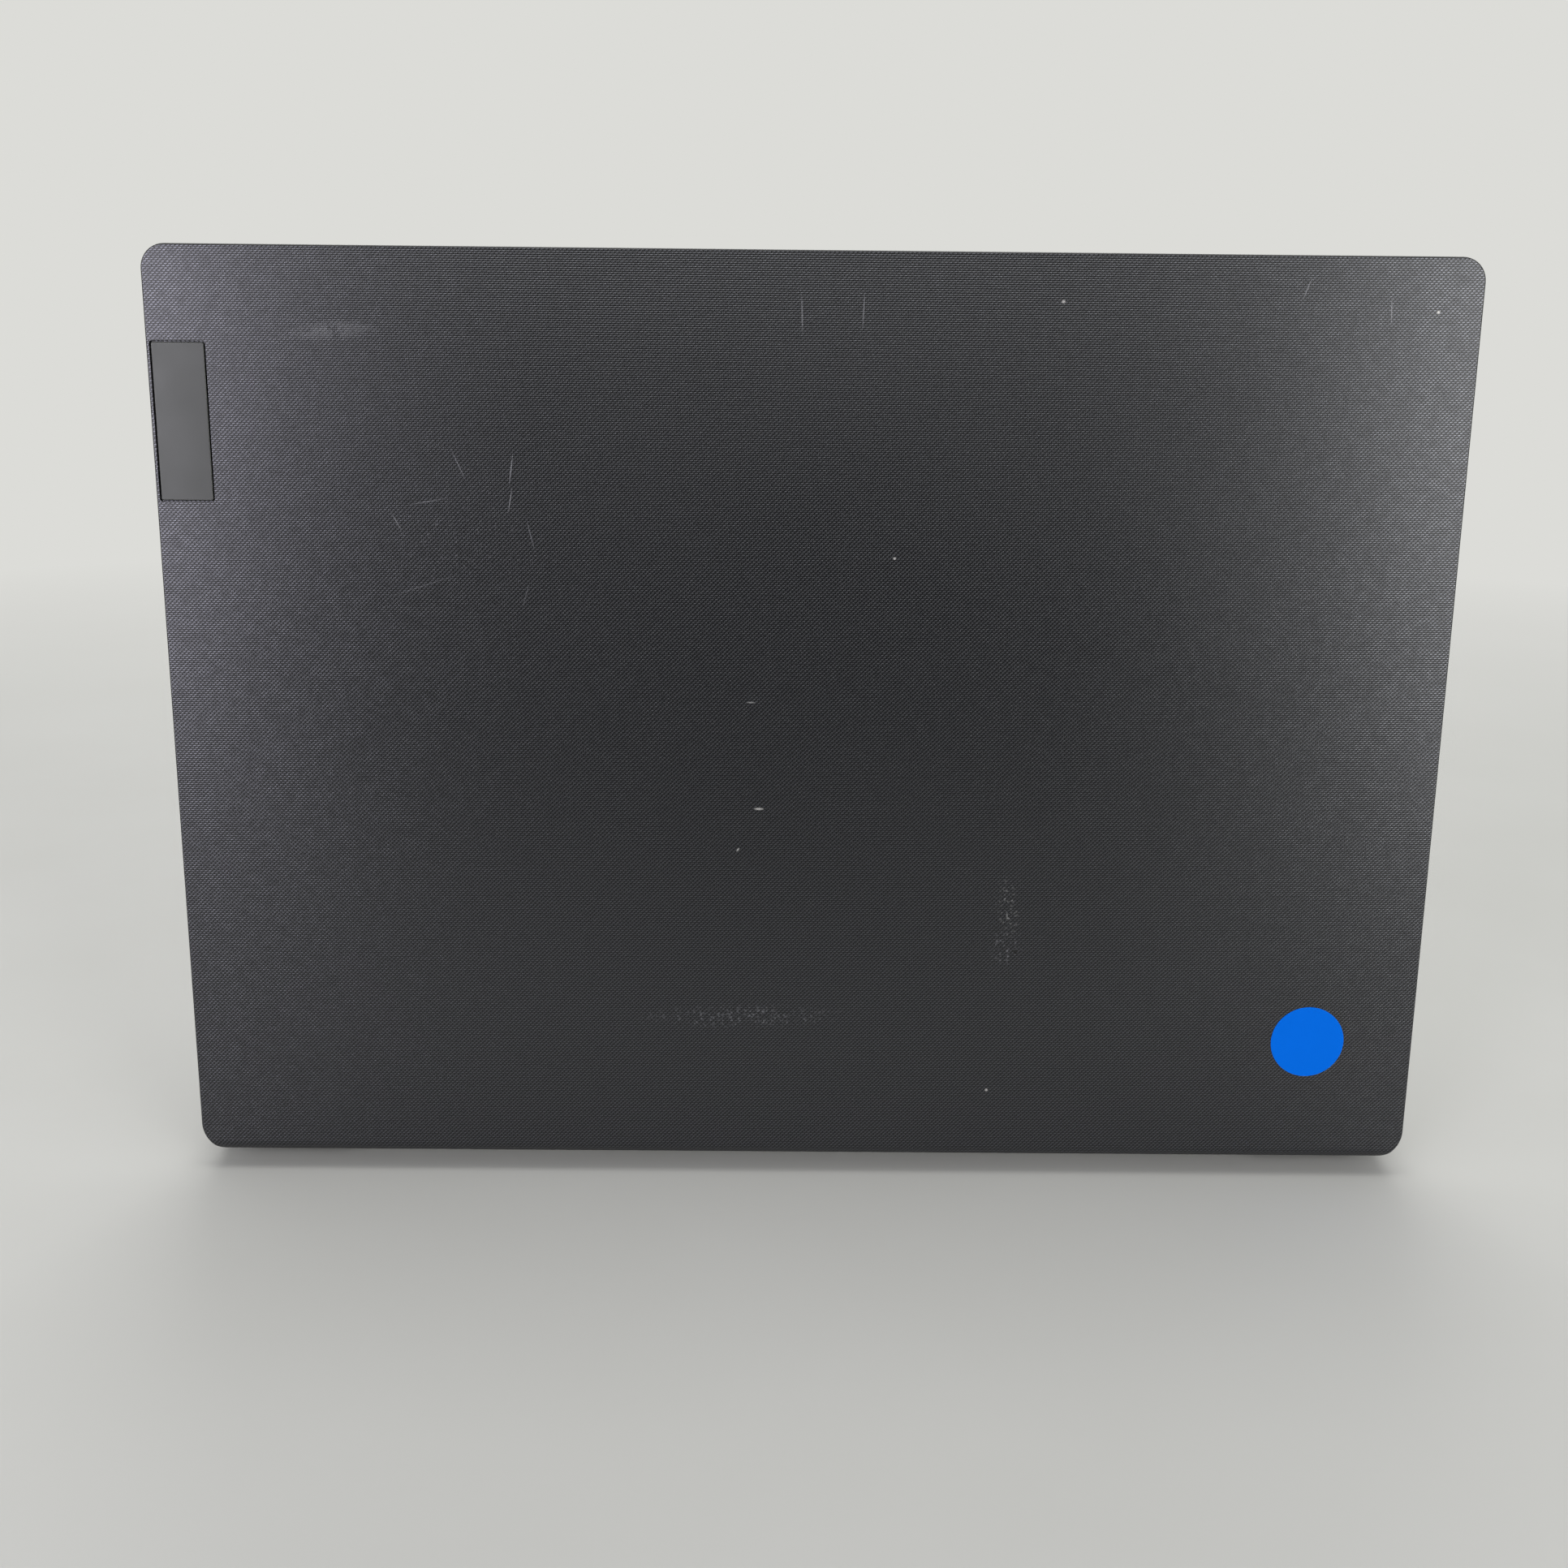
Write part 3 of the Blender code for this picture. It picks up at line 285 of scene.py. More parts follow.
@dataclass(frozen=True)
class GrainedPlastic(Finish):
    """Plastic moulded in a spark-eroded tool: a fine even grain that spreads every reflection."""

    colour: str = "#232427"
    worn: str = "#2c2d30"
    rough: float = 0.5
    grain: float = 0.35 * MM
    depth: float = 0.02 * MM
    ior: float = 1.54
    patch: float = 45.5 * MM

    def wire(self, tree: bpy.types.NodeTree, shader: Any) -> None:
        """Drives bump by grain-sized noise, and tone and gloss by slow handling wear.

        Args:
            tree: the material's node tree.
            shader: its surface shader.
        """
        place = add(tree, "TexCoord", {}).outputs["Object"]
        pits = add(tree, "TexNoise", {"Vector": place, "Scale": 1 / self.grain, "Detail": 2.0})
        wear = add(tree, "TexNoise", {"Vector": place, "Scale": 1 / self.patch, "Detail": 4.0})
        share = add(tree, "MapRange", {0: wear.outputs["Fac"], 1: 0.4, 2: 0.7})
        tone = add(
            tree, "Mix", {0: share.outputs[0], 6: linear(self.colour), 7: linear(self.worn)},
            data_type="RGBA",
        )
        gloss = add(
            tree, "MapRange",
            {0: wear.outputs["Fac"], 1: 0.35, 2: 0.7, 3: self.rough + 0.05, 4: self.rough - 0.04},
        )
        bump = add(
            tree, "Bump", {"Height": pits.outputs["Fac"], "Strength": 0.5, "Distance": self.depth}
        )
        tree.links.new(tone.outputs[2], shader.inputs["Base Color"])
        tree.links.new(gloss.outputs[0], shader.inputs["Roughness"])
        tree.links.new(bump.outputs[0], shader.inputs["Normal"])
        shader.inputs["IOR"].default_value = self.ior


@dataclass(frozen=True)
class DrawnMetal(Finish):
    """Rolled, drawn or plated metal: fine parallel lines that stretch its highlights."""

    colour: str = "#b9b9b7"
    rough: float = 0.3
    line: float = 0.3 * MM
    along: Point = (0.02, 1.0, 1.0)
    depth: float = 0.006 * MM
    haze: float = 16.7 * MM

    def wire(self, tree: bpy.types.NodeTree, shader: Any) -> None:
        """Stretches noise along one direction for the drawing lines.

        Args:
            tree: the material's node tree.
            shader: its surface shader.
        """
        place = add(tree, "TexCoord", {}).outputs["Object"]
        pulled = add(tree, "VectorMath", {0: place, 1: self.along}, operation="MULTIPLY")
        lines = add(tree, "TexNoise", {"Vector": pulled.outputs[0], "Scale": 1 / self.line})
        haze = add(tree, "TexNoise", {"Vector": place, "Scale": 1 / self.haze, "Detail": 3.0})
        gloss = add(
            tree, "MapRange",
            {0: haze.outputs["Fac"], 1: 0.3, 2: 0.7, 3: self.rough - 0.05, 4: self.rough + 0.07},
        )
        bump = add(
            tree, "Bump", {"Height": lines.outputs["Fac"], "Strength": 0.4, "Distance": self.depth}
        )
        shader.inputs["Base Color"].default_value = linear(self.colour)
        shader.inputs["Metallic"].default_value = 1.0
        tree.links.new(gloss.outputs[0], shader.inputs["Roughness"])
        tree.links.new(bump.outputs[0], shader.inputs["Normal"])


@dataclass(frozen=True)
class CoatedSheet(Finish):
    """Smooth film, glass or lacquer, whose gloss changes a little with fingerprints."""

    colour: str = "#0a0b0d"
    second: str = "#0c0d10"
    rough: float = 0.3
    spread: float = 0.08
    ior: float = 1.5
    patch: float = 18.0 * MM
    gleam: float = 0.5

    def wire(self, tree: bpy.types.NodeTree, shader: Any) -> None:
        """Varies gloss in finger-sized patches over a nearly even colour.

        Args:
            tree: the material's node tree.
            shader: its surface shader.
        """
        place = add(tree, "TexCoord", {}).outputs["Object"]
        smear = add(tree, "TexNoise", {"Vector": place, "Scale": 1 / self.patch, "Detail": 5.0})
        tone = add(
            tree, "Mix", {0: smear.outputs["Fac"], 6: linear(self.colour), 7: linear(self.second)},
            data_type="RGBA",
        )
        gloss = add(
            tree, "MapRange",
            {0: smear.outputs["Fac"], 1: 0.35, 2: 0.65, 3: self.rough, 4: self.rough + self.spread},
        )
        tree.links.new(tone.outputs[2], shader.inputs["Base Color"])
        tree.links.new(gloss.outputs[0], shader.inputs["Roughness"])
        shader.inputs["IOR"].default_value = self.ior
        shader.inputs["Specular IOR Level"].default_value = self.gleam


def sightlines(tree: bpy.types.NodeTree) -> tuple[Any, Any]:
    """Tells the rays that show the backdrop from those that light a surface.

    Args:
        tree: the tree to add the nodes to.

    Returns:
        The socket that is 1 for the eye, for gloss and through glass, and the one that is 1
        for everything but the eye.
    """
    path = add(tree, "LightPath", {})
    eye = path.outputs["Is Camera Ray"]
    metal, glass = path.outputs["Is Glossy Ray"], path.outputs["Is Transmission Ray"]
    shown = add(tree, "Math", {0: eye, 1: metal}, operation="MAXIMUM")
    shown = add(tree, "Math", {0: shown.outputs[0], 1: glass}, operation="MAXIMUM")
    unseen = add(tree, "Math", {0: 1.0, 1: eye}, operation="SUBTRACT")
    return shown.outputs[0], unseen.outputs[0]


@dataclass(frozen=True)
class PaleTable(Finish):
    """Matt white laminate that fades into the backdrop's colour away from the computer.

    From below it is clear, which leaves the computer's underside in view. Behind the camera the
    table's colour is painted near-black and its glow is cut, for every ray but the eye's. This is
    a painted shade that stands for a dark room, so the table there gives no gloss to the lid.
    """

    colour: str = "#c4c4be"
    second: str = "#cbcbc6"
    backdrop: str = "#dcdcd8"
    # unlit: the colour of the painted shade that the table takes behind the camera
    unlit: str = "#101010"
    rough: float = 0.6
    gleam: float = 0.3
    patch: float = 111.0 * MM
    near: float = 0.3
    far: float = 1.3
    # gloom: the middle of the painted shade behind the camera, then its reach, its core and how it is
    # squeezed across
    gloom: Point = (0.0, 1.15, 0.0)
    gloom_reach: float = 0.75
    gloom_core: float = 0.45
    gloom_slim: float = 1.7

    def wire(self, tree: bpy.types.NodeTree, shader: Any) -> None:
        """Mixes the lit laminate into an even backdrop by distance from the middle.

        Args:
            tree: the material's node tree.
            shader: its surface shader.
        """
        place = add(tree, "TexCoord", {}).outputs["Object"]
        shown, unseen = sightlines(tree)
        smear = add(tree, "TexNoise", {"Vector": place, "Scale": 1 / self.patch, "Detail": 5.0})
        tone = add(
            tree, "Mix",
            {0: smear.outputs["Fac"], 6: linear(self.colour), 7: linear(self.second)},
            data_type="RGBA",
        )
        # Painted shade: behind the camera the table turns near-black and loses its glow, for every ray
        # but the eye's.
        offset = add(tree, "VectorMath", {0: place, 1: self.gloom}, operation="SUBTRACT")
        slim = (self.gloom_slim, 1.0, 1.0)
        offset = add(tree, "VectorMath", {0: offset.outputs[0], 1: slim}, operation="MULTIPLY")
        reach = add(tree, "VectorMath", {0: offset.outputs[0]}, operation="LENGTH")
        dark = add(
            tree, "MapRange", {0: reach.outputs["Value"], 1: self.gloom_reach, 2: self.gloom_core}
        )
        dark = add(tree, "Math", {0: dark.outputs[0], 1: unseen}, operation="MULTIPLY")
        tone = add(
            tree, "Mix", {0: dark.outputs[0], 6: tone.outputs[2], 7: linear(self.unlit)},
            data_type="RGBA",
        )
        tree.links.new(tone.outputs[2], shader.inputs["Base Color"])
        shader.inputs["Roughness"].default_value = self.rough
        shader.inputs["Specular IOR Level"].default_value = self.gleam
        away = add(tree, "VectorMath", {0: place}, operation="LENGTH")
        fade = add(tree, "MapRange", {0: away.outputs["Value"], 1: self.near, 2: self.far})
        fade = add(tree, "Math", {0: fade.outputs[0], 1: shown}, operation="MULTIPLY")
        glow = add(tree, "MapRange", {0: dark.outputs[0], 3: 1.0, 4: 0.0})
        even = add(tree, "Emission", {"Color": linear(self.backdrop), "Strength": glow.outputs[0]})
        out = tree.nodes["Material Output"]
        mixed = add(tree, "MixShader", {0: fade.outputs[0], 1: shader.outputs[0], 2: even.outputs[0]})
        under = add(tree, "NewGeometry", {}).outputs["Backfacing"]
        clear = add(tree, "BsdfTransparent", {})
        sided = add(tree, "MixShader", {0: under, 1: mixed.outputs[0], 2: clear.outputs[0]})
        tree.links.new(sided.outputs[0], out.inputs["Surface"])


# The casing: ABS from a spark-eroded tool, evenly matt, finer on the deck than underneath.
DECK_ABS = GrainedPlastic("moulded_charcoal_abs_grained", "charcoal_plastic")
UNDER_ABS = GrainedPlastic(
    "moulded_charcoal_abs_coarse", "charcoal_plastic", "#1f2023", "#26272a", rough=0.56,
    grain=0.55 * MM, depth=0.04 * MM,
)
# The lid's front, the keys, the tray and the sockets: blacker plastics, a little glossier where
# fingers or plugs rub them.
BEZEL_ABS = GrainedPlastic(
    "moulded_black_abs", "black_plastic", "#131315", "#18181a", rough=0.48, grain=0.3 * MM
)
KEYCAP_ABS = GrainedPlastic(
    "moulded_black_keycap_abs", "key_plastic", "#17181a", "#1f2022", rough=0.46,
    grain=0.3 * MM, depth=0.01 * MM,
)
WELL_ABS = GrainedPlastic(
    "moulded_black_tray_abs", "black_plastic", "#101112", "#151617", rough=0.6
)
SOCKET_NYLON = GrainedPlastic(
    "moulded_socket_nylon", "moulded_socket", "#0f0f10", "#141415", rough=0.42, grain=0.3 * MM
)
# Neoprene, which gives almost no gloss.
FOOT_RUBBER = GrainedPlastic(
    "moulded_neoprene_rubber", "foot_rubber", "#101010", "#191918", rough=0.82,
    grain=0.4 * MM, depth=0.03 * MM,
)
# Etched polyester film, whose sheen is softer than the plastic around it.
TOUCH_FILM = CoatedSheet(
    "etched_touch_film", "key_plastic", "#1b1c1e", "#1d1e20", rough=0.38, spread=0.03
)
# Metals: satin plate, zinc-plated pressings, drawn shells and blackened screws.
BADGE_NICKEL = DrawnMetal(
    "satin_nickel_plate", "satin_badge", "#414240", rough=0.31, line=0.25 * MM,
    along=(1.0, 1.0, 0.02),
)
HINGE_STEEL = DrawnMetal("pressed_zinc_plated_steel", "bright_steel", "#8d8e90", rough=0.34)
SHELL_NICKEL = DrawnMetal("drawn_nickel_shell", "plated_shell", "#b4b3ae", rough=0.24)
COPPER = DrawnMetal("drawn_copper", "copper", "#c07a55", rough=0.3, line=0.4 * MM)
GOLD = DrawnMetal("gold_plated_contact", "copper", "#d9b36a", rough=0.22)
SCREW_STEEL = DrawnMetal("blackened_screw_steel", "bright_steel", "#3b3c3f", rough=0.36)
# Coated sheets: green lacquer, the matt screen, its printed border, glass, vinyl, ink and acrylic.
LAMINATE = CoatedSheet(
    "lacquered_board_laminate", "board_laminate", "#12402c", "#164a33", rough=0.32,
    ior=1.52, patch=6 * MM,
)
SCREEN_FILM = CoatedSheet(
    "antiglare_screen_film", "screen_face", "#090a0d", "#0a0b0e", rough=0.32, spread=0.015,
    patch=40 * MM,
)
MASK_FILM = CoatedSheet(
    "printed_screen_mask", "screen_face", "#050506", "#070708", rough=0.34, spread=0.04
)
LENS_GLASS = CoatedSheet(
    "camera_lens_glass", "dark_lens", "#07080c", "#0a0b14", rough=0.06, spread=0.02,
    ior=1.6, patch=2 * MM,
)
STICKER_VINYL = CoatedSheet(
    "blue_sticker_vinyl", "", "#0064d4", "#0061cd", rough=0.5, spread=0.1, ior=1.4,
    patch=6 * MM, gleam=0.05,
)
LEGEND_INK = CoatedSheet("printed_key_ink", "", "#c4c6c8", "#cfd0d2", rough=0.5, spread=0.05)
LIGHT_PIPE = CoatedSheet("clear_light_pipe", "", "#d9dde0", "#e2e4e6", rough=0.2, spread=0.05)


# ---------------------------------------------------------------- bench


class Shape(Enum):
    """What is picked before an edit."""

    FACE = "FACE"
    EDGE = "EDGE"


def clear_selection() -> None:
    """Leaves edit mode and deselects every object."""
    if bpy.context.object and bpy.context.object.mode != "OBJECT":
        bpy.ops.object.mode_set(mode="OBJECT")
    bpy.ops.object.select_all(action="DESELECT")


def hold(item: bpy.types.Object) -> None:
    """Makes one object the only selected and the active one.

    Args:
        item: the object.
    """
    clear_selection()
    item.select_set(True)
    bpy.context.view_layer.objects.active = item


def pick(item: bpy.types.Object, shape: Shape, test: Test) -> None:
    """Enters edit mode with only the faces or edges that pass a test selected.

    Args:
        item: the object to edit.
        shape: whether faces or edges are picked.
        test: takes a face's middle and normal, or an edge's middle and direction.
    """
    hold(item)
    bpy.ops.object.mode_set(mode="EDIT")
    bpy.ops.mesh.select_mode(type=shape.value)
    bpy.ops.mesh.select_all(action="DESELECT")
    shell = bmesh.from_edit_mesh(item.data)
    parts = shell.faces if shape is Shape.FACE else shell.edges
    for part in parts:
        if shape is Shape.FACE:
            chosen = test(part.calc_center_median(), part.normal)
        else:
            ends = [vertex.co for vertex in part.verts]
            chosen = test((ends[0] + ends[1]) / 2, (ends[1] - ends[0]).normalized())
        part.select_set(chosen)
    bmesh.update_edit_mesh(item.data)


def leave() -> None:
    """Goes back to object mode."""
    bpy.ops.object.mode_set(mode="OBJECT")


def settle(item: bpy.types.Object) -> None:
    """Puts an object's place and turn into its mesh."""
    hold(item)
    bpy.ops.object.transform_apply(location=True, rotation=True, scale=True)


def cube(name: str, low: Sequence[float], high: Sequence[float]) -> bpy.types.Object:
    """A box between two corners, as a start for a piece.

    Args:
        name: the object's name.
        low: its lowest corner.
        high: its highest corner.

    Returns:
        The box.
    """
    clear_selection()
    low, high = Vector(low), Vector(high)
    bpy.ops.mesh.primitive_cube_add(size=1, location=(low + high) / 2, scale=high - low)
    made = bpy.context.object
    made.name = name
    settle(made)
    return made


def round_corners(
    item: bpy.types.Object, radius: float, steps: int = 6, beyond: float = -math.inf
) -> None:
    """Rounds the upright edges of a box.

    Args:
        item: the box.
        radius: the rounding.
        steps: how many facets a corner has.
        beyond: only the edges further along Y than this are rounded.
    """
    pick(item, Shape.EDGE, lambda mid, way: abs(way.z) > 0.99 and mid.y > beyond)
    bpy.ops.mesh.bevel(offset=radius, segments=steps, affect="EDGES")
    leave()


def round_rim(item: bpy.types.Object, level: float, radius: float, steps: int = 3) -> None:
    """Rounds the edges that lie at one level.

    Args:
        item: the piece.
        level: the level of the edges.
        radius: the rounding.
        steps: how many facets it has.
    """
    pick(item, Shape.EDGE, lambda mid, way: abs(mid.z - level) < 1e-6 and abs(way.z) < 0.01)
    bpy.ops.mesh.bevel(offset=radius, segments=steps, affect="EDGES")
    leave()


def sink_top(item: bpy.types.Object, level: float, steps: Sequence[tuple[float, float]]) -> None:
    """Hollows a flat top into a shallow dish, ring by ring.

    Args:
        item: the piece.
        level: the level of its top.
        steps: for each ring, how far it lies inside the last one and how far it sinks.
    """
    pick(item, Shape.FACE, lambda mid, way: way.z > 0.99 and abs(mid.z - level) < 1e-6)
    corners = [vertex.co for vertex in bmesh.from_edit_mesh(item.data).verts if vertex.select]
    low = Vector([min(corner[i] for corner in corners) for i in range(3)])
    high = Vector([max(corner[i] for corner in corners) for i in range(3)])
    middle, size = (low + high) / 2, high - low
    for inside, sunk in steps:
        share = (1 - 2 * inside / size.x, 1 - 2 * inside / size.y, 1)
        bpy.ops.mesh.inset(thickness=0)
        bpy.ops.transform.resize(value=share, center_override=middle)
        bpy.ops.transform.translate(value=(0, 0, -sunk))
        size = Vector((size.x * share[0], size.y * share[1], 0))
    leave()


def slab(
    name: str, low: Sequence[float], high: Sequence[float], corner: float, rim: float,
    steps: int = 6,
) -> bpy.types.Object:
    """A plate with round corners and a softened upper rim.

    Args:
        name: the object's name.
        low: its lowest corner.
        high: its highest corner.
        corner: the radius of its corners in plan.
        rim: the radius of its upper rim.
        steps: how many facets a corner has.

    Returns:
        The plate.
    """
    made = cube(name, low, high)
    round_corners(made, corner, steps)
    if rim:
        round_rim(made, high[2], rim)
    return made


def rod(
    name: str, middle: Sequence[float], radius: float, length: float, steps: int = 32
) -> bpy.types.Object:
    """An upright round bar, as a start for a piece.

    Args:
        name: the object's name.
        middle: its middle.
        radius: its radius.
        length: how tall it stands.
        steps: how many sides it has.

    Returns:
        The bar.
    """
    clear_selection()
    bpy.ops.mesh.primitive_cylinder_add(
        vertices=steps, radius=radius, depth=length, location=middle
    )
    made = bpy.context.object
    made.name = name
    settle(made)
    return made


def carve(item: bpy.types.Object, tool: bpy.types.Object, how: str = "DIFFERENCE") -> None:
    """Cuts, joins or crosses a piece with a tool, which is used up.

    Args:
        item: the piece.
        tool: the other shape.
        how: the Boolean modifier's operation.
    """
    hold(item)
    change = item.modifiers.new("carve", "BOOLEAN")
    change.operation = how
    change.solver = "EXACT"
    change.object = tool
    bpy.ops.object.modifier_apply(modifier=change.name)
    bpy.data.objects.remove(tool)


def merge(name: str, items: list[bpy.types.Object]) -> bpy.types.Object:
    """Joins separate shapes into one piece.

    Args:
        name: the piece's name.
        items: the shapes, which are used up.

    Returns:
        The piece.
    """
    clear_selection()
    for item in items:
        item.select_set(True)
    bpy.context.view_layer.objects.active = items[0]
    if len(items) > 1:
        bpy.ops.object.join()
    items[0].name = name
    return items[0]


def twin(item: bpy.types.Object, name: str, move: Sequence[float]) -> bpy.types.Object:
    """A copy of a piece with its own mesh, moved aside.

    Args:
        item: the piece.
        name: the copy's name.
        move: how far the copy is moved.

    Returns:
        The copy.
    """
    hold(item)
    bpy.ops.object.duplicate(linked=False)
    made = bpy.context.object
    made.name = name
    made.location = Vector(move)
    settle(made)
    return made


def softened(node: str, name: str, radius: float, steps: int = 2) -> bpy.types.Object:
    """A copy of a CAD piece with its sharp edges rounded.

    Args:
        node: the CAD piece.
        name: the copy's name.
        radius: the rounding of its edges.
        steps: how many facets the rounding has.

    Returns:
        The copy.
    """
    hold(frame["nodes"][node])
    bpy.ops.object.duplicate(linked=False)
    made = bpy.context.object
    made.name = name
    world = made.matrix_world.copy()
    made.parent = None
    made.matrix_world = world
    settle(made)
    bpy.ops.object.mode_set(mode="EDIT")
    bpy.ops.mesh.select_all(action="SELECT")
    bpy.ops.mesh.remove_doubles(threshold=1e-6)
    bpy.ops.mesh.dissolve_limited(angle_limit=math.radians(1.0))
    leave()
    change = made.modifiers.new("softened", "BEVEL")
    change.width = radius
    change.segments = steps
    change.limit_method = "ANGLE"
    change.angle_limit = math.radians(40)
    bpy.ops.object.modifier_apply(modifier=change.name)
    return made


def smooth(item: bpy.types.Object, angle: float = 32.0) -> None:
    """Shades a piece smooth, and keeps its large faces flat to the light.

    Args:
        item: the piece.
        angle: the sharpest edge that is shaded smooth, in degrees.
    """
    hold(item)
    bpy.ops.object.shade_smooth_by_angle(angle=math.radians(angle))
    weigh = item.modifiers.new("weigh", "WEIGHTED_NORMAL")
    weigh.keep_sharp = True
    weigh.weight = 100
    bpy.ops.object.modifier_apply(modifier=weigh.name)


def dress(
    item: bpy.types.Object, finish: Finish, body: str, stands_for: Sequence[str] = (),
    angle: float = 32.0,
) -> bpy.types.Object:
    """Gives a piece its finish and its body, and hides the CAD pieces that it stands for.

    Args:
        item: the finished piece.
        finish: what it is made of.
        body: the CAD body that it moves with.
        stands_for: the CAD pieces that it replaces.
        angle: the sharpest edge that is shaded smooth.

    Returns:
        The piece.
    """
    smooth(item, angle)
    item.data.materials.clear()
    item.data.materials.append(finish.make())
    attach(item, body)
    if stands_for:
        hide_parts(*stands_for)
    log.info("%s: %d faces, %s, on %s", item.name, len(item.data.polygons), finish.name, body)
    return item


def repaint(finish: Finish, *nodes: str) -> None:
    """Gives CAD pieces a better material, leaving their shapes alone.

    Args:
        finish: what they are made of.
        *nodes: the CAD pieces.
    """
    for node in nodes:
        for slot in frame["nodes"][node].material_slots:
            slot.material = finish.make()


# ---------------------------------------------------------------- lid


@dataclass
class Hinge:
    """The lid's hinge, read from the record.

    Attributes:
        place: a point on the axis.
        opened: how far the lid stands open from shut, in radians.
    """

    place: Vector
    opened: float

    @classmethod
    def from_record(cls) -> "Hinge":
        """Reads the lid joint.

        Returns:
            The hinge.
        """
        joints = frame["record"]["behaviour"]["joints"]
        lid = next(joint for joint in joints if joint["name"] == "lid_hinge")
        return cls(Vector(lid["pos_m"]), -math.radians(lid["range_deg"][0]))

    def swing(self, item: bpy.types.Object) -> bpy.types.Object:
        """Turns a piece drawn on the shut lid, from the axis, to where the open lid has it.

        Args:
            item: the piece.

        Returns:
            The same piece, in place.
        """
        item.matrix_world = Matrix.Translation(self.place) @ Matrix.Rotation(-self.opened, 4, "X")
        settle(item)
        return item

    def shut_box(self, node: str) -> tuple[Vector, Vector]:
        """The box of a lid piece if the lid were shut, from the axis.

        Args:
            node: the CAD piece.

        Returns:
            Its lowest and highest corners.
        """
        back = Matrix.Rotation(self.opened, 4, "X") @ Matrix.Translation(-self.place)
        points = [back @ vertex.co for vertex in frame["nodes"][node].data.vertices]
        low = [min(point[i] for point in points) for i in range(3)]
        high = [max(point[i] for point in points) for i in range(3)]
        return Vector(low), Vector(high)


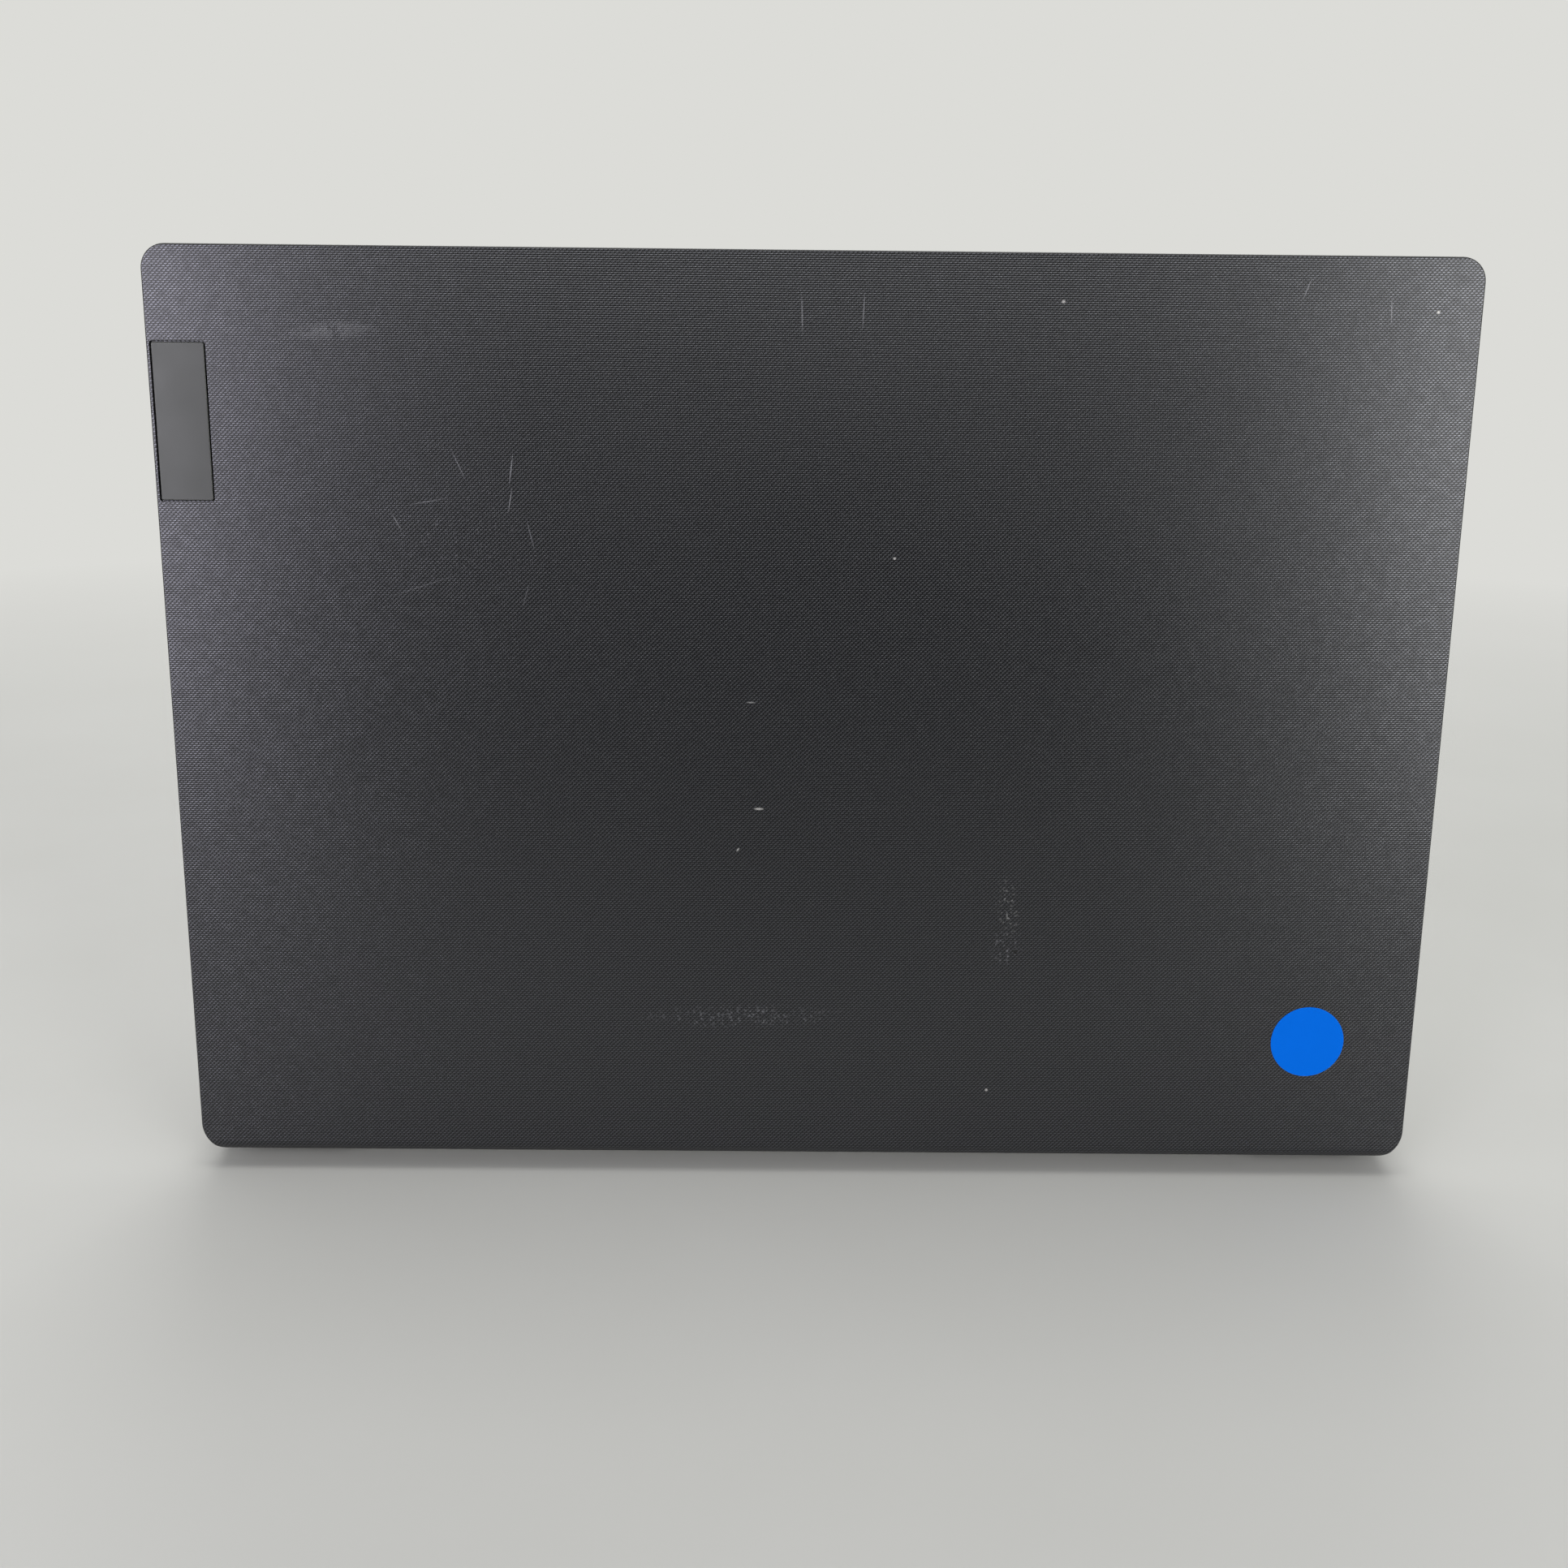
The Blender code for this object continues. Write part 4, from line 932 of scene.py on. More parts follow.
@dataclass
class Lid:
    """The lid: its twill back, badge plate, sticker, bezel, screen and camera."""

    hinge: Hinge
    corner: float = 6.0 * MM
    low_corner: float = 8.0 * MM
    edge: float = 0.6 * MM
    lip: float = 3.2 * MM
    rim_wall: float = 1.2 * MM
    back_wall: float = 1.5 * MM
    arris: float = 0.1 * MM
    moulded_edge: float = 0.35 * MM
    badge_gap: float = 0.3 * MM
    badge_sunk: float = 0.8 * MM
    badge_corner: float = 0.5 * MM
    badge_rim: float = 0.22 * MM
    recess_corner: float = 0.6 * MM
    sticker_across: float = -135.2 * MM
    sticker_down: float = 202.0 * MM
    sticker_radius: float = 9.8 * MM
    sticker_height: float = 0.12 * MM
    sticker_rim: float = 0.05 * MM
    active_width: float = 309.4 * MM
    active_height: float = 174.0 * MM
    active_low: float = 3.4 * MM
    active_proud: float = 0.06 * MM
    bumper: Point = (9.0 * MM, 2.6 * MM, 0.35 * MM)
    bumper_inset: Point = (14.0 * MM, 4.2 * MM, 34.0 * MM)
    bumper_corner: float = 1.2 * MM
    bumper_rim: float = 0.15 * MM
    ring_radius: float = 1.55 * MM
    ring_tall: float = 0.3 * MM
    ring_wall: float = 0.45 * MM
    ring_sunk: float = 0.15 * MM
    lens_radius: float = 1.0 * MM
    lens_flat: float = 0.25
    slot_wide: float = 0.9 * MM
    slot_corner: float = 0.4 * MM
    slots: tuple[tuple[float, float], ...] = (
        (-16 * MM, 2.8 * MM), (16 * MM, 2.8 * MM), (5.5 * MM, 1.0 * MM)
    )
    low: Vector = field(init=False)
    high: Vector = field(init=False)

    def __post_init__(self) -> None:
        """Reads the lid's outer box."""
        self.low, self.high = self.hinge.shut_box("lid_cover")

    def build(self) -> None:
        """Builds and dresses every piece of the lid."""
        self.build_cover()
        self.build_badge()
        self.build_sticker()
        self.build_bezel()
        self.build_screen()
        self.build_camera()
        self.build_hinge_bar()

    def twill(self) -> TwillAbs:
        """The back's finish, with the wear that long use has left on it.

        Returns:
            The finish.
        """
        marks = (
            Mark((-53, 165), (3.4, 9), 8, "#8b8b88", 0.5, 1.1, 0.56),
            Mark((-53, 176), (4.8, 6), 0, "#77777a", 0.4, 1.0, 0.56),
            Mark((-55.6, 177.4), (1.0, 1.1), 20, "#0b0b0b", 1.0),
            Mark((17, 196), (30, 3.6), 1, "#76777a", 0.32, 1.2, 0.55),
            Mark((75, 53), (0.18, 4.6), -8, "#9a9a9e", 0.45),
            Mark((75.4, 60.5), (0.18, 3.8), -10, "#9a9a9e", 0.4),
            Mark((70.5, 69), (0.18, 4.4), 14, "#85858a", 0.3),
            Mark((96, 61), (6, 0.2), 10, "#7c7c80", 0.3),
            Mark((104, 66), (0.2, 3.0), 28, "#7c7c80", 0.45),
            Mark((88, 52), (0.18, 5.0), 24, "#75757a", 0.4),
            Mark((98, 82), (11, 0.2), 18, "#707074", 0.22),
            Mark((72, 84), (0.2, 4.0), -16, "#707074", 0.25),
            Mark((88, 70), (24, 20), 0, "#5a5a5e", 0.3, 0.9, 0.6),
            Mark((3, 15), (0.2, 5.5), 2, "#808084", 0.5),
            Mark((-12, 14), (0.2, 5.0), -2, "#808084", 0.5),
            Mark((-141, 13), (0.22, 3.4), 4, "#8e8e92", 0.6),
            Mark((-120, 8), (0.2, 3.0), -20, "#8e8e92", 0.5),
            Mark((118, 20), (13, 2.5), 4, "#88888c", 0.14, 0.6, 0.35),
            Mark((-60.7, 11.5), (0.6, 0.5), 0, "#a5a3a0", 0.9),
            Mark((-152.5, 13.1), (0.5, 0.5), 0, "#c9c7c2", 1.0),
            Mark((-21, 74), (0.5, 0.4), 0, "#a5a3a0", 0.9),
            Mark((-49.3, 216.5), (0.5, 0.5), 0, "#b5b3ae", 0.65),
            Mark((12.8, 139), (1.5, 0.4), 0, "#b0afaa", 0.7),
            Mark((18.2, 150), (0.7, 0.3), 50, "#9a9a96", 0.8),
            Mark((15, 111), (1.4, 0.25), 0, "#8a8a88", 0.6),
        )
        top = self.rest_top()
        lean = -(math.pi / 2 - self.hinge.opened)
        return TwillAbs(
            "moulded_charcoal_abs_twill", "charcoal_plastic", lean=lean, top=top, marks=marks
        )

    def rest_top(self) -> float:
        """Finds where the twill's own leaning frame has the back's upper edge.

        Returns:
            Its level there.
        """
        edge = Vector((0, self.low.y, self.high.z))
        place = self.hinge.place + Matrix.Rotation(-self.hinge.opened, 3, "X") @ edge
        return (Matrix.Rotation(-(math.pi / 2 - self.hinge.opened), 3, "X") @ place).z

    def build_cover(self) -> None:
        """The back cover: a round-cornered shell with a deep round lower lip and badge recess."""
        cover = cube("lid_shell", self.low, self.high)
        round_corners(cover, self.low_corner, 12, self.high.y - MM)
        pick(cover, Shape.EDGE, lambda mid, way: abs(way.z) > 0.99 and mid.y < self.low.y + MM)
        bpy.ops.mesh.bevel(offset=self.corner, segments=10, affect="EDGES")
        leave()
        round_rim(cover, self.high.z, self.edge)
        roll = cube("roll", self.low - Vector((1, 1, 1)) * MM, self.high)
        roll.data.transform(Matrix.Scale(1.02, 4, (1, 0, 0)))
        pick(
            roll, Shape.EDGE,
            lambda mid, way: abs(way.x) > 0.99 and mid.y > 0 and abs(mid.z - self.high.z) < 1e-6,
        )
        bpy.ops.mesh.bevel(offset=self.lip, segments=10, affect="EDGES")
        leave()
        carve(cover, roll, "INTERSECT")
        wall = Vector((self.rim_wall, self.rim_wall, 0))
        hollow_low = self.low + wall - Vector((0, 0, MM))
        hollow_high = self.high - wall - Vector((0, 0, self.back_wall))
        carve(cover, slab("hollow", hollow_low, hollow_high, self.corner - self.rim_wall, 0.0, 8))
        low, high = self.hinge.shut_box("badge_plate")
        gap = Vector((self.badge_gap, self.badge_gap, 0))
        floor = Vector((0, 0, self.high.z - self.badge_sunk - low.z))
        above = high + gap + Vector((0, 0, MM))
        recess = slab("recess", low - gap + floor, above, self.recess_corner, 0.0, 3)
        carve(cover, recess)
        soften = cover.modifiers.new("soften", "BEVEL")
        soften.width = self.arris
        soften.segments = 2
        soften.limit_method = "ANGLE"
        soften.angle_limit = math.radians(50)
        bpy.ops.object.modifier_apply(modifier=soften.name)
        dress(self.hinge.swing(cover), self.twill(), "lid", ["lid_cover"], 25)

    def build_badge(self) -> None:
        """The bare badge plate, flush in its recess, with a crisp rolled edge."""
        low, high = self.hinge.shut_box("badge_plate")
        plate = slab("badge_satin_plate", low, high, self.badge_corner, self.badge_rim, 4)
        dress(self.hinge.swing(plate), BADGE_NICKEL, "lid", ["badge_plate"])

    def build_sticker(self) -> None:
        """The plain round sticker near the lid's lower corner."""
        down = self.low.y + self.sticker_down
        middle = (self.sticker_across, down, self.high.z + self.sticker_height / 2)
        disc = rod("blue_sticker", middle, self.sticker_radius, self.sticker_height, 96)
        top = self.high.z + self.sticker_height
        round_rim(disc, top, self.sticker_rim, 2)
        dress(self.hinge.swing(disc), STICKER_VINYL, "lid", (), 40)

    def build_bezel(self) -> None:
        """The bezel with softened edges, and the bumpers that meet the deck."""
        bezel = softened("screen_bezel", "bezel_frame", self.moulded_edge, 3)
        dress(bezel, BEZEL_ABS, "lid", ["screen_bezel"], 40)
        low, high = self.hinge.shut_box("screen_bezel")
        wide, deep, tall = self.bumper
        side, foot, head = self.bumper_inset
        sunk = 0.05 * MM
        pads = []
        for across in (low.x + side, high.x - side):
            for along in (low.y + foot, high.y - head):
                near = (across - wide / 2, along - deep / 2, low.z - tall)
                far = (across + wide / 2, along + deep / 2, low.z + sunk)
                pad = cube("pad", near, far)
                round_corners(pad, self.bumper_corner, 6)
                round_rim(pad, near[2], self.bumper_rim, 2)
                pads.append(pad)
        pads = merge("bezel_bumpers", pads)
        dress(self.hinge.swing(pads), FOOT_RUBBER, "lid")

    def build_screen(self) -> None:
        """The dark screen: its printed border and its anti-glare picture area."""
        panel = softened("display_panel", "screen_panel", 0.2 * MM)
        dress(panel, MASK_FILM, "lid", ["display_panel"])
        low, _ = self.hinge.shut_box("display_panel")
        foot = low.y + self.active_low
        near = (-self.active_width / 2, foot, low.z - self.active_proud)
        far = (self.active_width / 2, foot + self.active_height, low.z)
        film = cube("screen_picture_area", near, far)
        round_corners(film, 0.4 * MM, 3)
        round_rim(film, near[2], self.active_proud / 2, 1)
        dress(self.hinge.swing(film), SCREEN_FILM, "lid")

    def build_camera(self) -> None:
        """The camera's lens ring, its domed lens, its light and two microphone slots in painted shade.
        """
        repaint(SOCKET_NYLON, "webcam", "display_cable")
        low, high = self.hinge.shut_box("webcam")
        bezel_low, _ = self.hinge.shut_box("screen_bezel")
        along = (low.y + high.y) / 2
        face = low.z
        ring = rod("lens_ring", (0, along, face), self.ring_radius, self.ring_tall, 40)
        pick(ring, Shape.FACE, lambda mid, way: way.z < -0.9)
        bpy.ops.mesh.inset(thickness=self.ring_wall)
        bpy.ops.transform.translate(value=(0, 0, self.ring_sunk))
        leave()
        dress(self.hinge.swing(ring), BEZEL_ABS, "lid")
        clear_selection()
        bpy.ops.mesh.primitive_uv_sphere_add(
            segments=32, ring_count=16, radius=self.lens_radius, location=(0, along, face),
            scale=(1, 1, self.lens_flat),
        )
        lens = bpy.context.object
        lens.name = "camera_lens"
        settle(lens)
        dress(self.hinge.swing(lens), LENS_GLASS, "lid", (), 60)
        # The microphone slots are not cut. Flush dark glass pieces stand in them, a painted shade in
        # place of the holes. The small third piece is the camera light's real dark window.
        slots = []
        proud, sunk = 0.02 * MM, 0.2 * MM
        for across, length in self.slots:
            near = (across - length / 2, along - self.slot_wide / 2, bezel_low.z - proud)
            far = (across + length / 2, along + self.slot_wide / 2, bezel_low.z + sunk)
            slot = cube("slot", near, far)
            round_corners(slot, self.slot_corner, 6)
            slots.append(slot)
        dress(self.hinge.swing(merge("microphone_slot_shade_and_light", slots)), LENS_GLASS, "lid")

    def build_hinge_bar(self) -> None:
        """The bar along the lid's foot, with softened ends, and the steel hinge arms."""
        bar = softened("hinge_cap", "hinge_bar", self.moulded_edge, 3)
        dress(bar, BEZEL_ABS, "lid", ["hinge_cap"], 30)
        for side in ("left", "right"):
            arm = softened(f"hinge_arm_{side}", f"hinge_knuckle_{side}", 0.2 * MM)
            dress(arm, SCREW_STEEL, "lid", [f"hinge_arm_{side}"])


# ---------------------------------------------------------------- keyboard


@dataclass(frozen=True)
class Key:
    """One key: the CAD piece it belongs to, its place in plan, and what is printed on it."""

    node: str
    low: tuple[float, float]
    high: tuple[float, float]
    legend: str


@dataclass
class Keyboard:
    """The key caps with scooped tops and printed legends."""

    web: float = 3.05 * MM
    corner: float = 1.3 * MM
    rim: float = 0.4 * MM
    scoop: float = 0.16 * MM
    scoop_ring: float = 0.8 * MM
    scoop_shares: Point = (0.35, 0.4, 0.25)
    letter: float = 4.2 * MM
    word: float = 2.7 * MM
    tight_word: float = 2.0 * MM
    wide_key: float = 17.0 * MM
    second: float = 0.82
    letter_inset: tuple[float, float] = (2.7 * MM, 2.3 * MM)
    word_inset: float = 2.6 * MM
    lower_sign: float = 3.4 * MM
    arrow_radius: float = 1.1 * MM
    ink: float = 0.02 * MM
    row_units: int = 15
    small_key: float = 15 / 16
    rows: tuple[tuple[str, str, str], ...] = (
        ("keys_function_row", "esc F1 F2 F3 F4 F5 F6 F7 F8 F9 F10 F11 F12 Insert PrtSc delete",
         "key_esc key_delete"),
        ("keys_number_row", "~` !1 @2 #3 $4 %5 ^6 &7 *8 (9 )0 _- += backspace", "key_backspace"),
        ("keys_upper_row", "tab Q W E R T Y U I O P {[ }] |\\", "key_tab"),
        ("keys_home_row", "caps_lock A S D F G H J K L :; \"' enter", "key_caps_lock key_enter"),
        ("keys_lower_row", "shift_left Z X C V B N M <, >. ?/ shift_right",
         "key_shift_left key_shift_right"),
    )
    widths: dict[str, float] = field(default_factory=lambda: {
        "esc": 15 / 16, "delete": 15 / 16, "backspace": 2, "tab": 1.5, "|\\": 1.5,
        "caps_lock": 1.75, "enter": 2.25, "shift_left": 2.25, "shift_right": 2.75,
    })
    words: dict[str, str] = field(default_factory=lambda: {
        "esc": "Esc", "delete": "Delete", "backspace": "Backspace", "tab": "Tab",
        "caps_lock": "Caps Lock", "enter": "Enter", "shift_left": "Shift",
        "shift_right": "Shift", "space": "",
    })

    left: float = field(init=False)
    right: float = field(init=False)
    pitch: float = field(init=False)
    top: float = field(init=False)
    bottom: float = field(init=False)

    def __post_init__(self) -> None:
        """Works out the key pitch from the ends of the rows."""
        self.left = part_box("key_esc")[0].x - self.web / 2
        self.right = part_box("key_backspace")[1].x + self.web / 2
        self.pitch = (self.right - self.left) / self.row_units
        self.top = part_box("key_esc")[1].z
        self.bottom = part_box("key_esc")[0].z

    def keys(self) -> list[Key]:
        """Finds every key's place from the CAD rows.

        Returns:
            The keys, row by row.
        """
        found = []
        for node, labels, _ in self.rows:
            low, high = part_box(node)
            across = self.left
            for label in labels.split():
                plain = self.small_key if node == "keys_function_row" else 1
                wide = self.widths.get(label, plain) * self.pitch
                owner = f"key_{label}" if label in self.words else node
                near = (across + self.web / 2, low.y)
                far = (across + wide - self.web / 2, high.y)
                found.append(Key(owner, near, far, self.words.get(label, label)))
                across += wide
        return found + self.bottom_keys()

    def bottom_keys(self) -> list[Key]:
        """Finds the modifier keys, the space bar and the arrows.

        Returns:
            The keys of the bottom row.
        """
        found = []
        low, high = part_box("key_space")
        across = self.left
        row = (("Ctrl", 1.25), ("Fn", 1), ("", 1), ("Alt", 1), (" ", 5.25), ("Alt", 1), ("Ctrl", 1))
        node = "keys_bottom_left"
        for legend, units in row:
            wide = units * self.pitch
            owner = "key_space" if legend == " " else node
            near, far = (across + self.web / 2, low.y), (across + wide - self.web / 2, high.y)
            found.append(Key(owner, near, far, legend.strip()))
            node = "keys_bottom_right" if legend == " " else node
            across += wide
        for way in ("left", "up", "down", "right"):
            near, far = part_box(f"key_arrow_{way}")
            found.append(Key(f"key_arrow_{way}", tuple(near[:2]), tuple(far[:2]), f"arrow {way}"))
        return found

    def build(self) -> None:
        """Builds every cap and legend, one pair of pieces for each CAD piece."""
        caps: dict[str, list[bpy.types.Object]] = {}
        prints: dict[str, list[bpy.types.Object]] = {}
        for key in self.keys():
            caps.setdefault(key.node, []).append(self.cap(key))
            prints.setdefault(key.node, []).extend(self.printed(key))
        for node, made in caps.items():
            dress(merge(f"{node}_caps", made), KEYCAP_ABS, node, [node], 40)
        for node, made in prints.items():
            if made:
                dress(merge(f"{node}_legends", made), LEGEND_INK, node)

    def cap(self, key: Key) -> bpy.types.Object:
        """One key cap: round corners, a soft rim and a shallow scooped top.

        Args:
            key: the key.

        Returns:
            Its cap.
        """
        low, high = (*key.low, self.bottom), (*key.high, self.top)
        made = slab("cap", low, high, self.corner, self.rim, 4)
        rings = [(self.scoop_ring, share * self.scoop) for share in self.scoop_shares]
        sink_top(made, self.top, rings)
        return made

    def printed(self, key: Key) -> list[bpy.types.Object]:
        """What is printed on a key, as flat ink just above its scooped top.

        Args:
            key: the key.

        Returns:
            The printed shapes.
        """
        legend = key.legend
        if not legend:
            return []
        level = self.top - self.scoop + self.ink
        if legend.startswith("arrow"):
            return [self.arrow(key, legend.split()[1], level)]
        left, back = key.low[0] + self.letter_inset[0], key.high[1] - self.letter_inset[1]
        marks = []
        if len(legend) == 1:
            marks.append(self.text(legend, self.letter, (left, back - self.letter, level)))
        elif len(legend) == 2 and not legend[0].isalpha():
            small = self.second * self.letter
            marks.append(self.text(legend[0], small, (left, back - small, level)))
            marks.append(self.text(legend[1], small, (left, key.low[1] + self.lower_sign, level)))
        else:
            middle = (key.low[1] + key.high[1]) / 2 - 0.35 * self.word
            roomy = len(legend) < 4 or key.high[0] - key.low[0] > self.wide_key
            size = self.word if roomy else self.tight_word
            marks.append(self.text(legend, size, (key.low[0] + self.word_inset, middle, level)))
        return marks

    def text(self, words: str, size: float, place: Point) -> bpy.types.Object:
        """Flat letters, lying on a key.

        Args:
            words: what they say.
            size: how tall a line is.
            place: where the line starts.

        Returns:
            The letters.
        """
        clear_selection()
        bpy.ops.object.text_add(location=place)
        made = bpy.context.object
        made.data.body = words
        made.data.size = size
        made.data.resolution_u = 3
        hold(made)
        bpy.ops.object.convert(target="MESH")
        made = bpy.context.object
        settle(made)
        return made

    def arrow(self, key: Key, way: str, level: float) -> bpy.types.Object:
        """A small solid triangle on an arrow key.

        Args:
            key: the key.
            way: where it points.
            level: the level that it lies at.

        Returns:
            The triangle.
        """
        middle = ((key.low[0] + key.high[0]) / 2, (key.low[1] + key.high[1]) / 2, level)
        clear_selection()
        turn = math.radians({"up": 0, "left": 90, "down": 180, "right": -90}[way])
        bpy.ops.mesh.primitive_circle_add(
            vertices=3, radius=self.arrow_radius, fill_type="NGON", location=middle,
            rotation=(0, 0, turn),
        )
        made = bpy.context.object
        settle(made)
        return made


# ---------------------------------------------------------------- base


@dataclass
class Base:
    """The base: deck, under cover, feet, screws, touchpad, power button and sockets."""

    deck_edge: float = 0.18 * MM
    under_edge: float = 0.2 * MM
    screw_head: float = 2.6 * MM
    screw_pocket: float = 3.1 * MM
    screw_depth: float = 0.6 * MM
    screw_sunk: float = 0.1 * MM
    screw_rim: float = 0.22 * MM
    driver: Point = (1.6 * MM, 0.32 * MM, 0.35 * MM)
    rear_screws: tuple[float, ...] = (-140 * MM, -48 * MM, 48 * MM, 140 * MM)
    middle_screws: tuple[float, ...] = (-140 * MM, 0.0, 140 * MM)
    front_screws: tuple[float, ...] = (-75 * MM, 0.0, 75 * MM)
    rear_inset: float = 22.0 * MM
    middle_share: float = 0.52
    front_inset: float = 19.0 * MM
    foot_corner: float = 2.0 * MM
    foot_rim: float = 0.45 * MM
    pad_corner: float = 2.0 * MM
    pad_rim: float = 0.25 * MM
    button_collar: float = 0.8 * MM
    button_rim: float = 0.3 * MM
    button_dish: tuple[tuple[float, float], ...] = ((0.8 * MM, 0.07 * MM), (1.2 * MM, 0.07 * MM))
    pipe_radius: float = 0.35 * MM
    pipe_inset: float = 1.5 * MM
    pipe_tall: float = 0.14 * MM
    pipe_proud: float = 0.04 * MM
    usb_tongue: tuple[float, float] = (0.34 * MM, 2.06 * MM)
    video_tongue: tuple[float, float] = (-0.86 * MM, 0.86 * MM)
    tongue_side: float = 1.1 * MM
    tongue_back: float = 0.55 * MM
    tongue_mouth: float = 1.9 * MM
    contact_back: float = 0.6 * MM
    contact_proud: float = 0.06 * MM
    contact_sunk: float = 0.05 * MM
    light_radius: float = 0.6 * MM
    light_length: float = 0.5 * MM
    light_sunk: float = 0.2 * MM
    light_rim: float = 0.08 * MM
    light_first: float = 7.0 * MM
    light_pitch: float = 5.0 * MM

    def build(self) -> None:
        """Builds and dresses every piece of the base."""
        self.build_deck()
        self.build_under()
        self.build_feet()
        self.build_touchpad()
        self.build_power_button()
        self.build_sockets()
        self.build_lights()
        self.paint_inside()

    def build_deck(self) -> None:
        """The palm rest and deck, with every edge softened as a moulding's are."""
        deck = softened("top_case", "deck_shell", self.deck_edge, 2)
        dress(deck, DECK_ABS, "base", ["top_case"], 40)

    def screw_places(self) -> list[tuple[float, float]]:
        """Finds the under cover's screws: along the rear, the middle and the front.

        Returns:
            Their places in plan.
        """
        low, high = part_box("bottom_cover")
        deep = high.y - low.y
        places = [(across, high.y - self.rear_inset) for across in self.rear_screws]
        places += [(across, low.y + self.middle_share * deep) for across in self.middle_screws]
        places += [(across, low.y + self.front_inset) for across in self.front_screws]
        return places

    def build_under(self) -> None:
        """The under cover with screw pockets, and one screw copied into each."""
        under = softened("bottom_cover", "under_shell", self.under_edge, 2)
        low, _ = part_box("bottom_cover")
        floor = low.z
        for across, along in self.screw_places():
            middle = (across, along, floor)
            carve(under, rod("pocket", middle, self.screw_pocket, 2 * self.screw_depth))
        dress(under, UNDER_ABS, "base", ["bottom_cover"], 40)
        first = self.screw(floor)
        copies = [
            twin(first, "screw", (across, along, 0)) for across, along in self.screw_places()
        ]
        bpy.data.objects.remove(first)
        dress(merge("under_screws", copies), SCREW_STEEL, "base")

    def screw(self, floor: float) -> bpy.types.Object:
        """One domed screw head with a cross-shaped driver recess, at the middle.

        Args:
            floor: the level of the under cover's outer face.

        Returns:
            The head.
        """
        tall = self.screw_depth - self.screw_sunk
        middle = (0, 0, floor + self.screw_depth - tall / 2)
        head = rod("screw_head", middle, self.screw_head, tall, 28)
        round_rim(head, floor + self.screw_depth - tall, self.screw_rim, 3)
        for turned in (False, True):
            size = Vector(self.driver)
            if turned:
                size = Vector((size.y, size.x, size.z))
            middle = Vector((0, 0, floor + self.screw_depth - tall))
            carve(head, cube("driver", middle - size, middle + size))
        return head

    def build_feet(self) -> None:
        """The four rubber feet, domed at their sole edges."""
        for end in ("front", "rear"):
            for side in ("left", "right"):
                node = f"foot_{end}_{side}"
                low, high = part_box(node)
                foot = cube(f"rubber_{node}", low, high)
                round_corners(foot, self.foot_corner, 6)
                round_rim(foot, low.z, self.foot_rim, 4)
                dress(foot, FOOT_RUBBER, "base", [node], 50)

    def build_touchpad(self) -> None:
        """The touchpad's etched film, with its round corners."""
        low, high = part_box("touchpad")
        pad = slab("touch_surface", low, high, self.pad_corner, self.pad_rim, 8)
        dress(pad, TOUCH_FILM, "touchpad", ["touchpad"], 40)

    def build_power_button(self) -> None:
        """The power button: a dished disc with a small light pipe at its front edge."""
        low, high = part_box("power_button")
        middle = (low + high) / 2
        radius = (high.x - low.x) / 2 - self.button_collar
        disc = rod("power_disc", (middle.x, middle.y, middle.z), radius, high.z - low.z, 64)
        round_rim(disc, high.z, self.button_rim, 3)
        sink_top(disc, high.z, self.button_dish)
        dress(disc, KEYCAP_ABS, "power_button", ["power_button"], 40)
        front = middle.y - radius + self.pipe_inset
        head = high.z - 0.03 * MM
        place = (middle.x, front, head - self.pipe_tall / 2)
        pipe = rod("power_light", place, self.pipe_radius, self.pipe_tall, 20)
        round_rim(pipe, head, self.pipe_proud, 2)
        dress(pipe, LIGHT_PIPE, "power_button")

    def build_sockets(self) -> None:
        """The sockets' shells, and the moulded tongues with gold contacts inside them."""
        repaint(SOCKET_NYLON, "dc_jack", "audio_jack")
        repaint(SHELL_NICKEL, "usb_port_rear", "usb_port_middle", "usb_port_front", "hdmi_port")
        repaint(SHELL_NICKEL, "card_reader")
        for node in ("usb_port_rear", "usb_port_middle", "usb_port_front", "hdmi_port"):
            video = node == "hdmi_port"
            low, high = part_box(node)
            middle = (low + high) / 2
            half = (high.y - low.y) / 2 - self.tongue_side
            foot, head = self.video_tongue if video else self.usb_tongue
            near = (low.x + self.tongue_back, middle.y - half, middle.z + foot)
            far = (high.x - self.tongue_mouth, middle.y + half, middle.z + head)
            tongue = slab(f"{node}_tongue", near, far, 0.2 * MM, 0.1 * MM, 2)
            dress(tongue, SOCKET_NYLON, "base")
            count = 10 if video else 4
            pitch = 2 * half / (count + 1)
            thick = 0.25 * pitch
            strips = []
            for number in range(count):
                at = middle.y - half + (number + 1) * pitch
                back = (near[0] + self.contact_back, at - thick, near[2] - self.contact_proud)
                strip = cube("strip", back, (far[0], at + thick, near[2] + self.contact_sunk))
                round_corners(strip, 0.08 * MM, 2)
                strips.append(strip)
            dress(merge(f"{node}_contacts", strips), GOLD, "base")

    def build_lights(self) -> None:
        """Two small indicator lights in the right side wall, in front of the card slot."""
        low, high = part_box("card_reader")
        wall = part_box("top_case")[1].x
        level = (low.z + high.z) / 2
        lamps = []
        for number in range(2):
            along = high.y + self.light_first + number * self.light_pitch
            clear_selection()
            bpy.ops.mesh.primitive_cylinder_add(
                vertices=20, radius=self.light_radius, depth=self.light_length,
                location=(wall - self.light_sunk, along, level), rotation=(0, math.pi / 2, 0),
            )
            lamp = bpy.context.object
            settle(lamp)
            pick(lamp, Shape.EDGE, lambda mid, way: mid.x > wall and abs(way.x) < 0.01)
            bpy.ops.mesh.bevel(offset=self.light_rim, segments=2, affect="EDGES")
            leave()
            lamps.append(lamp)
        dress(merge("side_lights", lamps), LIGHT_PIPE, "base")

